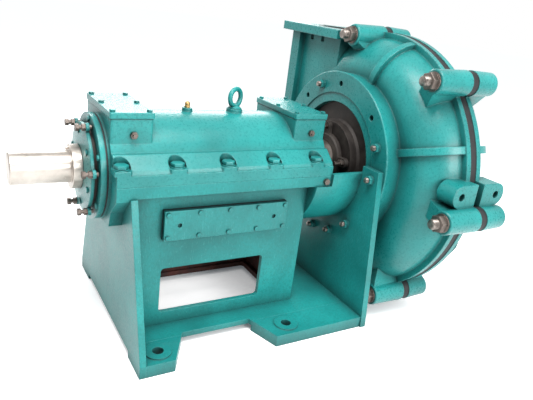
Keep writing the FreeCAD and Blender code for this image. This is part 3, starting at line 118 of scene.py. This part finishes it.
class Recipe:
    """One material while it is being written."""

    def __init__(self, name):
        self.material = bpy.data.materials.new(name)
        self.material.use_nodes = True
        self.tree = self.material.node_tree
        self.tree.nodes.clear()
        self.place = self.node("ShaderNodeTexCoord", output="Object")

    def node(self, kind, settings=None, values=None, output=0):
        made = self.tree.nodes.new(kind)
        for key, setting in (settings or {}).items():
            setattr(made, key, setting)
        for key, value in (values or {}).items():
            if isinstance(value, Value):
                self.tree.links.new(value.socket, made.inputs[key])
            else:
                made.inputs[key].default_value = value
        return Value(self, made.outputs[output])

    def axis(self, name):
        return self.node("ShaderNodeSeparateXYZ", values={0: self.place}, output=name)

    def noise(self, scale, detail=3.0, rough=0.5, stretch=(1, 1, 1)):
        place = self.node("ShaderNodeMapping", values={"Vector": self.place, "Scale": stretch})
        values = {"Vector": place, "Scale": scale, "Detail": detail, "Roughness": rough}
        return self.node("ShaderNodeTexNoise", values=values, output="Fac")

    def ramp(self, value, low, high):
        """Stretch the part of a value between two limits over 0 to 1."""
        return ((value - low) / (high - low)).math("MAXIMUM", 0.0).math("MINIMUM", 1.0)

    def mix(self, factor, first, second):
        """Blend two colours."""
        return self.node("ShaderNodeMix", {"data_type": "RGBA"}, {0: factor, 6: first, 7: second}, output=2)

    def bump(self, height, strength, distance, normal=None):
        values = {"Height": height, "Strength": strength, "Distance": distance}
        if normal is not None:
            values["Normal"] = normal
        return self.node("ShaderNodeBump", values=values, output="Normal")

    def rounded(self, radius):
        """Normals as if every edge had this radius: it gives machined and cast edges their highlight."""
        return self.node("ShaderNodeBevel", {"samples": 4}, {"Radius": radius}, output="Normal")

    def edge_mask(self, rounded):
        """1 close to an edge, 0 on open surface: how far the rounded normal leans from the true one."""
        geometry = self.node("ShaderNodeNewGeometry", output="Normal")
        lean = self.node("ShaderNodeVectorMath", {"operation": "DOT_PRODUCT"}, {0: rounded, 1: geometry},
                         output="Value")
        return self.ramp(1 - lean, 0.02, 0.25)

    def crevice(self, distance):
        """1 in open air, towards 0 in corners and recesses."""
        return self.node("ShaderNodeAmbientOcclusion", {"samples": 6}, {"Distance": distance}, output="AO")

    def surface(self, **values):
        named = {key.replace("_", " "): value for key, value in values.items()}
        shader = self.node("ShaderNodeBsdfPrincipled", values=named, output="BSDF")
        self.node_output(shader)
        return self.material

    def node_output(self, shader):
        out = self.tree.nodes.new("ShaderNodeOutputMaterial")
        self.tree.links.new(shader.socket, out.inputs["Surface"])


print("steps of a recipe:", ", ".join(step for step in vars(Recipe) if not step.startswith("_")))

# %% [markdown]
# ## Brushed enamel
# The pump is painted all over with thick green enamel, put on with a wide brush over rough castings.
# Four things make such paint: slow changes of tone where it went on thicker, a dark speckle where the
# sand-cast skin shows through, fine ridges that break up the highlights, and darker corners and recesses
# (partly grime, partly painted shade) with thin pale edges (partly wear, partly a painted highlight).
# Each is one line of noise or one mask below. The Bevel node also rounds the sharp CAD edges, so that
# they catch the light as a casting's do.
# CAD edges, so that they catch the light as a casting's do.

# %% Enamel
ENAMEL = (0.016, 0.300, 0.285, 1)
ENAMEL_DEEP = (0.008, 0.165, 0.158, 1)
ENAMEL_PALE = (0.14, 0.56, 0.54, 1)
GRIME_AND_PAINTED_SHADE = (0.004, 0.022, 0.022, 1)
RED_OXIDE = (0.085, 0.022, 0.016, 1)
PRIMER_STAIN = (0.020, 0.012, 0.010, 1)
CLOUD_SCALE, SKIN_SCALE, RIDGE_SCALE = 3.2, 95.0, 210.0
EVEN, BRUSHED_UP = (1.0, 1.0, 1.0), (1.0, 1.0, 0.2)


def enamel_base(recipe, stretch, gloss, radius):
    """Colour, roughness and normal of the brushed enamel, ready to be changed in places."""
    clouds = recipe.noise(CLOUD_SCALE, 3.0, 0.55)
    skin = recipe.noise(SKIN_SCALE, 5.0, 0.7)
    ridges = recipe.noise(RIDGE_SCALE, 4.0, 0.65, stretch)
    rounded = recipe.rounded(radius)
    # Paler edges: partly wear, partly a painted highlight.
    edge_wear_and_highlight = recipe.edge_mask(rounded) * recipe.ramp(recipe.noise(60.0, 4.0, 0.7), 0.38, 0.60)
    colour = recipe.mix(recipe.ramp(clouds, 0.30, 0.68), ENAMEL_DEEP, ENAMEL)
    colour = recipe.mix(recipe.ramp(skin, 0.52, 0.40) * 0.45, colour, ENAMEL_DEEP)
    colour = recipe.mix(recipe.ramp(ridges, 0.58, 0.75) * 0.28, colour, ENAMEL_PALE)
    colour = recipe.mix(edge_wear_and_highlight * 0.5, colour, ENAMEL_PALE)
    # Darker where the AO node finds corners and recesses: partly grime, partly painted shade.
    open_air = recipe.ramp(recipe.crevice(0.09), 0.30, 0.90)
    colour = recipe.mix((1 - open_air) * 0.8, colour, GRIME_AND_PAINTED_SHADE)
    roughness = recipe.ramp(skin, 0.25, 0.75) * 0.20 + gloss + (1 - open_air) * 0.25
    normal = recipe.bump(ridges * 0.6 + skin, 0.30, 0.0035, rounded)
    return colour, roughness, normal


def enamel(name, stretch, gloss, radius):
    recipe = Recipe(name)
    colour, roughness, normal = enamel_base(recipe, stretch, gloss, radius)
    return recipe.surface(Base_Color=colour, Roughness=roughness, Normal=normal, Coat_Weight=0.12,
                          Coat_Roughness=0.12, Specular_IOR_Level=0.38)


def primed_plate(name):
    """Enamel outside, red-oxide primer on everything inside the pedestal's box."""
    recipe = Recipe(name)
    colour, roughness, normal = enamel_base(recipe, BRUSHED_UP, 0.26, 0.004)
    along = recipe.axis("X").between(PRIMED_LOW.x, PRIMED_HIGH.x)
    across = recipe.axis("Y").between(PRIMED_LOW.y, PRIMED_HIGH.y)
    inside = along * across * recipe.axis("Z").below(PRIMED_HIGH.z)
    blots = recipe.ramp(recipe.noise(14.0, 5.0, 0.7), 0.35, 0.65)
    colour = recipe.mix(inside, colour, recipe.mix(blots, RED_OXIDE, PRIMER_STAIN))
    return recipe.surface(Base_Color=colour, Roughness=roughness + inside * 0.3, Normal=normal,
                          Specular_IOR_Level=0.38)


primed = primed_plate("primed_plates")
paint_cast = enamel("enamel_castings", EVEN, 0.20, 0.008)
paint_plate = enamel("enamel_plates", BRUSHED_UP, 0.26, 0.004)
paint_small = enamel("enamel_small_parts", EVEN, 0.24, 0.002)
print("enamels:", primed.name, paint_cast.name, paint_plate.name, paint_small.name)

# %% [markdown]
# A CAD node keeps its mesh and its place, and only takes a material. Castings, welded plates and small
# parts share the enamel but differ in gloss, brush marks and in how round their edges look.

# %% Paint the castings, plates and screws


def dress(material, *names):
    for name in names:
        mesh = nodes[name].data
        mesh.materials.clear()
        mesh.materials.append(material)
        for polygon in mesh.polygons:
            polygon.material_index = 0


dress(primed, "base_plate", "drive_end_wall", "side_wall_near", "side_wall_far", "pump_end_bulkhead",
      "housing_lower")
dress(paint_plate, "foot_blocks", "front_wall", "gland_trough", "access_cover_near", "access_cover_far")
dress(paint_cast, "housing_upper", "lid_drive_end", "lid_pump_end", "end_cover_drive",
      "end_cover_pump", "adjusting_ring", "casing_back", "casing_cover")
dress(paint_small, "split_line_bolts", "lid_bolts", "eye_bolt", "access_screws", "adjusting_ring_bolts",
      "end_cover_bolts")
print("painted nodes:", sum(1 for node in nodes.values() if node.data.materials))

# %% [markdown]
# ## Bare metals and rubber
# Bare metal needs two things: patches where it has dulled, and a fine grain in its roughness. The shaft
# was turned, so its grain is squeezed along X and reads as rings.

# %% Metals


def plain_metal(name, base, dark, rough, scale, stretch=(1, 1, 1), metallic=1.0):
    recipe = Recipe(name)
    patches = recipe.noise(scale * 0.3, 4.0, 0.65)
    grain = recipe.noise(scale * 6, 3.0, 0.6, stretch)
    rounded = recipe.rounded(0.0025)
    colour = recipe.mix(recipe.ramp(patches, 0.35, 0.7), dark, base)
    rubbed = tuple(min(1, channel * 1.6) for channel in base[:3]) + (1,)
    colour = recipe.mix(recipe.edge_mask(rounded) * 0.5, colour, rubbed)
    roughness = recipe.ramp(patches, 0.2, 0.8) * 0.2 + recipe.ramp(grain, 0.2, 0.8) * 0.12 + rough
    normal = recipe.bump(grain, 0.18, 0.001, rounded)
    return recipe.surface(Base_Color=colour, Metallic=metallic, Roughness=roughness, Normal=normal)


turned = plain_metal("turned_steel", base=(0.62, 0.57, 0.52, 1), dark=(0.40, 0.36, 0.32, 1), rough=0.2,
                     scale=30.0, stretch=(3.0, 0.1, 0.1))
dark_steel = plain_metal("oiled_dark_steel", base=(0.22, 0.19, 0.17, 1), dark=(0.09, 0.07, 0.06, 1),
                         rough=0.3, scale=60.0)
bare_iron = plain_metal("bare_cast_iron", base=(0.055, 0.046, 0.040, 1), dark=(0.025, 0.020, 0.018, 1),
                        rough=0.42, scale=60.0, metallic=0.4)
white_iron = plain_metal("white_iron", base=(0.32, 0.31, 0.30, 1), dark=(0.20, 0.19, 0.18, 1), rough=0.4,
                         scale=50.0)
ground_steel = plain_metal("ground_steel", base=(0.70, 0.70, 0.70, 1), dark=(0.55, 0.55, 0.55, 1),
                           rough=0.15, scale=20.0)
brass = plain_metal("dull_brass", base=(0.62, 0.42, 0.17, 1), dark=(0.35, 0.22, 0.09, 1), rough=0.3,
                    scale=60.0)
print("metals:", ", ".join(m.name for m in (turned, dark_steel, bare_iron, white_iron, ground_steel, brass)))

# %% Rubber, and the rest of the nodes


def rubber_finish(name):
    recipe = Recipe(name)
    bloom = recipe.noise(30.0, 4.0, 0.6)
    colour = recipe.mix(recipe.ramp(bloom, 0.4, 0.8), (0.006, 0.007, 0.008, 1), (0.020, 0.022, 0.024, 1))
    return recipe.surface(Base_Color=colour, Roughness=recipe.ramp(bloom, 0.2, 0.8) * 0.2 + 0.5,
                          Normal=recipe.bump(recipe.noise(400.0), 0.1, 0.001, recipe.rounded(0.002)))


rubber = rubber_finish("black_rubber")
dress(turned, "shaft", "labyrinth_collar", "bearing_nuts", "shaft_sleeve")
dress(dark_steel, "oil_plugs", "adjusting_screws", "gland_studs", "gland_nuts", "casing_bolts", "wall_studs",
      "liner_studs")
dress(bare_iron, "bearing_cartridge", "stuffing_box", "gland_half_outer", "gland_half_inner")
dress(white_iron, "impeller", "back_liner_plate", "throatbush")
dress(ground_steel, "drive_bearing_outer_ring", "drive_bearing_inner_ring", "drive_bearing_rollers",
      "pump_bearing_outer_ring", "pump_bearing_inner_ring", "pump_bearing_rollers")
dress(brass, "breather", "lantern_ring")
dress(rubber, "cover_gaskets", "housing_gasket_ring", "oil_seals", "water_slinger", "volute_liner_back",
      "volute_liner_front", "suction_joint_ring", "packing_rings")
print("nodes with no finish:", [n for n in nodes if not nodes[n].data.materials])

# %% [markdown]
# ## Nuts, studs and screws
# The CAD model holds each fastener as a plain prism on a plain rod. A real nut has its corners turned
# off, stands on a washer, and shows a few threads of its stud. Each is built upright at the origin, to
# the length of its CAD solid, and then laid at its place. The places are not typed: each solid of the
# CAD node is an island of its mesh, and an island's box gives the middle line and both ends.

# %% Find the fasteners


def new_piece(name, bm, body, material, *others):
    """Finish a bmesh as an object that rides on a body."""
    mesh = bpy.data.meshes.new(name)
    bmesh.ops.recalc_face_normals(bm, faces=bm.faces)
    bm.to_mesh(mesh)
    bm.free()
    for finish in (material,) + others:
        mesh.materials.append(finish)
    piece = bpy.data.objects.new(name, mesh)
    bpy.context.scene.collection.objects.link(piece)
    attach(piece, body)
    return piece


def merged_copy(node):
    bm = bmesh.new()
    bm.from_mesh(nodes[node].data)
    bmesh.ops.remove_doubles(bm, verts=bm.verts, dist=1e-5)
    return bm


def island_boxes(node):
    """Lowest and highest corner of every separate solid in a node."""
    bm = merged_copy(node)
    boxes, seen = [], set()
    for start in bm.verts:
        if start in seen:
            continue
        stack, island = [start], []
        seen.add(start)
        while stack:
            vert = stack.pop()
            island.append(vert.co.copy())
            for edge in vert.link_edges:
                other = edge.other_vert(vert)
                if other not in seen:
                    seen.add(other)
                    stack.append(other)
        boxes.append((Vector(map(min, zip(*island))), Vector(map(max, zip(*island)))))
    bm.free()
    return boxes


for name in ("casing_bolts", "wall_studs", "liner_studs", "split_line_bolts"):
    print(name, len(island_boxes(name)), "pieces")

# %% [markdown]
# A prism is a cone operator with six sides and two equal radii. Its rims are bevelled for the turned
# corners. A thread is a zigzag line spun round the axis: rings, not a helix, because at this size the
# eye can't tell, and a ring closes on itself.

# %% Shapes of a fastener
LEVEL = 1e-7          # ends of a level edge differ in height by less than this
# Shares of the pitch: depth of the groove, end of the crest, place of the root.
THREAD_DEPTH, CREST_END, ROOT_AT = 0.35, 0.15, 0.60
DOME_R = 0.70         # flat top of a stud's end, as a share of its radius
THREAD_STEPS = 18


def add_prism(bm, low, high, flats, chamfer, turn=0.0, sides=6):
    """Upright hexagon (or round) head between two heights, with its rims taken off."""
    radius = flats / 2 / math.cos(math.pi / sides)
    middle = Matrix.Translation((0, 0, (low + high) / 2)) @ Matrix.Rotation(turn, 4, "Z")
    made = bmesh.ops.create_cone(bm, cap_ends=True, segments=sides, radius1=radius, radius2=radius,
                                 depth=high - low, matrix=middle)["verts"]
    edges = {edge for vert in made for edge in vert.link_edges}
    rims = [edge for edge in edges if abs(edge.verts[0].co.z - edge.verts[1].co.z) < LEVEL]
    bmesh.ops.bevel(bm, geom=rims, offset=chamfer, offset_type="OFFSET", segments=2, profile=0.5,
                    affect="EDGES", material=-1)
    paint_new(bm, 0)


def spin_line(bm, line, steps):
    """Turn a line of (radius, height) points into a closed body round the upright axis."""
    verts = [bm.verts.new((r, 0, z)) for r, z in line]
    edges = [bm.edges.new(pair) for pair in zip(verts, verts[1:])]
    bmesh.ops.spin(bm, geom=verts + edges, axis=(0, 0, 1), cent=(0, 0, 0), steps=steps,
                   angle=2 * math.pi, use_merge=True)
    bmesh.ops.remove_doubles(bm, verts=bm.verts, dist=1e-6)


def add_thread(bm, low, high, radius, pitch):
    """Ringed rod with a domed end at the high end, in the second material."""
    root = radius - pitch * THREAD_DEPTH
    rows = max(2, int((high - low) / pitch))
    line = [(0.0, low), (radius, low)]
    for k in range(rows):
        z = low + (high - low) * k / rows
        line += [(radius, z + pitch * CREST_END), (root, z + pitch * ROOT_AT)]
    line += [(root, high - pitch * 0.5), (radius * DOME_R, high), (0.0, high)]
    spin_line(bm, line, THREAD_STEPS)
    paint_new(bm, 1)


def paint_new(bm, slot):
    """Give the faces made since the last call a material slot."""
    layer = bm.faces.layers.int.get("done") or bm.faces.layers.int.new("done")
    for face in bm.faces:
        if not face[layer]:
            face[layer], face.material_index = 1, slot


def lay(piece_bm, target_bm, place, turn):
    """Copy a finished fastener into a bigger bmesh at its place."""
    mesh = bpy.data.meshes.new("one_fastener")
    piece_bm.to_mesh(mesh)
    mesh.transform(Matrix.Translation(place) @ turn)
    target_bm.from_mesh(mesh)
    bpy.data.meshes.remove(mesh)


print("shapes: prism, thread")

# %% [markdown]
# All three kinds of fastener are one recipe with different sizes: a washer, a nut or head, a stud end
# where there is one, and the shank that hides in its hole.

# %% Build one, and lay a row of them
# turn is the nut's chance angle; slack keeps the shank and the thread's ends inside the CAD solid.
Fastener = namedtuple("Fastener", "washer_d washer_t washer_rim washer_sides flats height rim turn "
                                  "radius end pitch shank_sides slack")
TO_DRIVE = Matrix.Rotation(math.radians(-90), 4, "Y")
UPRIGHT = Matrix.Identity(4)


def build_fastener(size, length):
    """Standing on z = 0, with its shank below."""
    bm = bmesh.new()
    add_prism(bm, 0.0, size.washer_t, size.washer_d, size.washer_rim, sides=size.washer_sides)
    add_prism(bm, size.washer_t, size.height, size.flats, size.rim, size.turn)
    if size.end:
        add_thread(bm, size.height - 2 * size.slack, size.height + size.end - size.slack / 2, size.radius,
                   size.pitch)
    add_prism(bm, size.height + size.end - length + size.slack, 0.0, 2 * size.radius, size.slack,
              sides=size.shank_sides)
    return bm


def fasten(name, node, body, size, turn, *materials):
    """One detailed piece for all the fasteners of a CAD node."""
    up = turn.to_3x3() @ Vector((0, 0, 1))
    whole = bmesh.new()
    boxes = island_boxes(node)
    for low, high in boxes:
        length = abs((high - low).dot(up))
        tip = (low + high) / 2 + up * length / 2
        one = build_fastener(size, length)
        lay(one, whole, tip - up * (size.height + size.end), turn)
        one.free()
    piece = new_piece(name, whole, body, *materials)
    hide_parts(node)
    print(name, len(boxes), "fasteners,", len(piece.data.polygons), "faces")
    return piece


def smooth_by_angle(piece, angle=35.0):
    for polygon in piece.data.polygons:
        polygon.use_smooth = True
    piece.data.set_sharp_from_angle(angle=math.radians(angle))


print("order of sizes:", ", ".join(Fastener._fields))

# %% [markdown]
# The casing's six studs are the largest: a washer, a high nut and a bare stud end each. They were
# fitted after painting, so they are oiled black steel, with a bright turned stud end.

# %% Casing studs
STUD_DULL, STUD_BRIGHT = (0.10, 0.085, 0.075, 1), (0.34, 0.30, 0.27, 1)
STUD_GROOVE_SHADE = (0.02, 0.016, 0.014, 1)
CASING_STUD = Fastener(washer_d=0.078, washer_t=0.005, washer_rim=0.0012, washer_sides=28, flats=0.065,
                       height=0.034, rim=0.0035, turn=0.3, radius=0.021, end=0.030, pitch=0.0042,
                       shank_sides=20, slack=0.002)


def stud_finish(name):
    """Bare stud end: bright and dull patches, and painted shade in the grooves."""
    recipe = Recipe(name)
    patches = recipe.noise(70.0, 4.0, 0.65)
    # Painted shade: the colour darkens where the AO node finds the thread's grooves enclosed.
    groove_shade = 1 - recipe.ramp(recipe.crevice(0.012), 0.4, 0.9)
    colour = recipe.mix(recipe.ramp(patches, 0.35, 0.65), STUD_DULL, STUD_BRIGHT)
    colour = recipe.mix(groove_shade * 0.8, colour, STUD_GROOVE_SHADE)
    roughness = recipe.ramp(patches, 0.2, 0.8) * 0.2 + 0.25
    return recipe.surface(Base_Color=colour, Metallic=0.9, Roughness=roughness,
                          Normal=recipe.bump(patches, 0.2, 0.001))


bare_stud = stud_finish("bare_stud_ends")
studs = fasten("casing_studs_and_nuts", "casing_bolts", "frame", CASING_STUD, TO_DRIVE, dark_steel,
               bare_stud)
smooth_by_angle(studs)

# %% [markdown]
# The smaller studs between casing, liner and front wall were painted over: their nuts are green, and
# only the stud ends are bare, where the paint has worn.

# %% Wall and liner studs
WALL_STUD = Fastener(washer_d=0.040, washer_t=0.0035, washer_rim=0.0008, washer_sides=24, flats=0.036,
                     height=0.020, rim=0.002, turn=0.5, radius=0.012, end=0.016, pitch=0.003,
                     shank_sides=16, slack=0.001)

for name, node in (("front_wall_studs", "wall_studs"), ("liner_stud_ends", "liner_studs")):
    smooth_by_angle(fasten(name, node, "frame", WALL_STUD, TO_DRIVE, paint_small, bare_stud))

# %% [markdown]
# Ten bolts hold the two halves of the bearing housing together. Each sits in a round spot face with a
# washer, all under one thick coat of paint.

# %% Split-line bolts
SPLIT_BOLT = Fastener(washer_d=0.056, washer_t=0.004, washer_rim=0.001, washer_sides=28, flats=0.046,
                      height=0.019, rim=0.0028, turn=0.35, radius=0.012, end=0, pitch=0, shank_sides=16,
                      slack=0.001)
split = fasten("split_line_bolts_and_washers", "split_line_bolts", "frame", SPLIT_BOLT, UPRIGHT, paint_small)
smooth_by_angle(split)

# %% [markdown]
# ## Eye bolt
# A lifting eye is forged: its ring is thicker where it meets the shoulder. The ring is a circle of
# wire, spun round; its lower part is then swelled by moving its points away from the ring's middle plane.

# %% Eye bolt
EYE_RING, EYE_WIRE = 0.035, 0.0102
EYE_SWELL, EYE_SWELL_TOP = 0.55, 0.028
EYE_TURN = math.radians(25)
SHOULDER = ((0.0, 0.0), (0.0278, 0.0), (0.0278, 0.004), (0.022, 0.0085), (0.015, 0.0115), (0.0125, 0.018),
            (0.0, 0.019))

eye_low, eye_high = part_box("eye_bolt")
eye_place = Vector(((eye_low.x + eye_high.x) / 2, (eye_low.y + eye_high.y) / 2, eye_low.z))


def make_eye():
    bm = bmesh.new()
    bmesh.ops.create_circle(bm, segments=14, radius=EYE_WIRE, matrix=Matrix.Translation((EYE_RING, 0, 0)))
    bmesh.ops.spin(bm, geom=bm.verts[:] + bm.edges[:], axis=(0, 1, 0), cent=(0, 0, 0), steps=40,
                   angle=2 * math.pi, use_merge=True)
    bmesh.ops.translate(bm, verts=bm.verts, vec=(0, 0, EYE_RING + EYE_WIRE))
    for vert in bm.verts:
        vert.co.y *= 1 + EYE_SWELL * max(0.0, 1 - vert.co.z / EYE_SWELL_TOP)
    spin_line(bm, SHOULDER, 28)
    bmesh.ops.transform(bm, verts=bm.verts, matrix=Matrix.Translation(eye_place) @ Matrix.Rotation(
        EYE_TURN, 4, "Z"))
    return bm


eye = new_piece("forged_eye_bolt", make_eye(), "frame", paint_small)
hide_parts("eye_bolt")
smooth_by_angle(eye, 50)
print(eye.name, len(eye.data.polygons), "faces")

# %% [markdown]
# ## Floor, light and camera
# A pale floor and a white surround keep the shop portrait plain. The floor should melt into the
# background and still hold the pump's shadow, so its shader is asked which ray it answers: the camera
# and mirror-like rays see a glow added to it, which fades close to the pump and under it as a painted
# shadow, and all other rays see a plain pale floor.
# The same switch makes the world white behind the pump without throwing more light on it.

# %% Stage
SKY_LEVEL = 0.28
FLOOR_GLOW = 0.78
FLOOR_SHADE = (0.10, 0.11, 0.12, 1)
FLOOR_TONES = (0.84, 0.84, 0.84, 1), (0.88, 0.88, 0.88, 1)
SKY_TINT = (0.86, 0.94, 1.0, 1)
WHITE = (1, 1, 1, 1)


def seen_directly(recipe):
    """1 for the rays that show a background: from the camera, off metal, or through glass."""
    path = [recipe.node("ShaderNodeLightPath", output=name)
            for name in ("Is Camera Ray", "Is Glossy Ray", "Is Transmission Ray")]
    return path[0].math("MAXIMUM", path[1]).math("MAXIMUM", path[2])


def make_floor():
    mesh = bpy.data.meshes.new("floor")
    bm = bmesh.new()
    bmesh.ops.create_grid(bm, x_segments=2, y_segments=2, size=30.0)
    bm.to_mesh(mesh)
    bm.free()
    floor = bpy.data.objects.new("floor", mesh)
    bpy.context.scene.collection.objects.link(floor)
    mesh.transform(Matrix.Translation((0.2, 0, -0.001)))
    recipe = Recipe("pale_floor")
    tone = recipe.mix(recipe.ramp(recipe.noise(3.0), 0.3, 0.7), *FLOOR_TONES)
    plain = recipe.node("ShaderNodeBsdfDiffuse", values={"Color": tone})
    # Painted shadow: the glow fades towards FLOOR_SHADE where the AO node finds the pump close.
    open_air = recipe.ramp(recipe.crevice(0.5), 0.10, 0.55)
    shade = recipe.mix(open_air, FLOOR_SHADE, WHITE)
    white = recipe.node("ShaderNodeEmission", values={"Color": shade, "Strength": FLOOR_GLOW})
    lit = recipe.node("ShaderNodeAddShader", values={0: plain, 1: white})
    recipe.node_output(recipe.node("ShaderNodeMixShader", values={0: seen_directly(recipe), 1: plain, 2: lit}))
    mesh.materials.append(recipe.material)


def make_world():
    """A recipe writes into its own material; here it is turned to the world's tree, and that goes."""
    world = bpy.data.worlds.new("studio")
    bpy.context.scene.world = world
    world.use_nodes = True
    recipe = Recipe("world_helper")
    recipe.tree = world.node_tree
    recipe.tree.nodes.clear()
    sky = recipe.node("ShaderNodeBackground", values={"Color": SKY_TINT, "Strength": SKY_LEVEL})
    white = recipe.node("ShaderNodeBackground", values={"Color": WHITE, "Strength": 1.0})
    mix = recipe.node("ShaderNodeMixShader", values={0: seen_directly(recipe), 1: sky, 2: white})
    out = recipe.tree.nodes.new("ShaderNodeOutputWorld")
    recipe.tree.links.new(mix.socket, out.inputs[0])
    bpy.data.materials.remove(recipe.material)


make_floor()
make_world()
print("floor and world made")

# %% [markdown]
# Three wide lamps light the pump: one above, one behind for the far edges, and one at the near side.

# %% Lamps


def soft_lamp(name, place, target, size, power):
    lamp = bpy.data.lights.new(name, "AREA")
    lamp.shape, lamp.size, lamp.size_y = "RECTANGLE", size[0], size[1]
    lamp.energy = power
    holder = bpy.data.objects.new(name, lamp)
    bpy.context.scene.collection.objects.link(holder)
    aim = (Vector(target) - Vector(place)).to_track_quat("-Z", "Y")
    holder.matrix_world = Matrix.Translation(place) @ aim.to_matrix().to_4x4()


soft_lamp("overhead_softbox", (-0.5, -0.9, 3.6), (0.1, 0, 0.6), (2.4, 1.8), 150)
soft_lamp("rear_softbox", (1.0, 4.0, 2.6), (0.1, 0, 0.8), (4.0, 1.4), 120)
soft_lamp("front_softbox", (1.3, -4.2, 2.0), (0.4, 0, 0.6), (2.2, 1.8), 150)
print("lamps:", ", ".join(lamp.name for lamp in bpy.data.lights))

# %% Camera
CAMERA_PLACE = Vector((-0.9337, -2.0313, 1.3456))
YAW, PITCH, ROLL = (math.radians(a) for a in (32.4, 20.0, 7.5))
LENS = 36.8


def make_camera():
    ahead = Vector((math.sin(YAW) * math.cos(PITCH), math.cos(YAW) * math.cos(PITCH), -math.sin(PITCH)))
    right = Vector((math.cos(YAW), -math.sin(YAW), 0))
    up = right.cross(ahead)
    across = right * math.cos(ROLL) + up * math.sin(ROLL)
    upward = up * math.cos(ROLL) - right * math.sin(ROLL)
    data = bpy.data.cameras.new("portrait_camera")
    data.lens, data.sensor_width = LENS, 36.0
    camera = bpy.data.objects.new("portrait_camera", data)
    bpy.context.scene.collection.objects.link(camera)
    turn = Matrix((across, upward, -ahead)).transposed().to_4x4()
    camera.matrix_world = Matrix.Translation(CAMERA_PLACE) @ turn
    bpy.context.scene.camera = camera


make_camera()
bpy.context.scene.view_settings.view_transform = "Standard"
print("camera at", [round(v, 3) for v in CAMERA_PLACE])
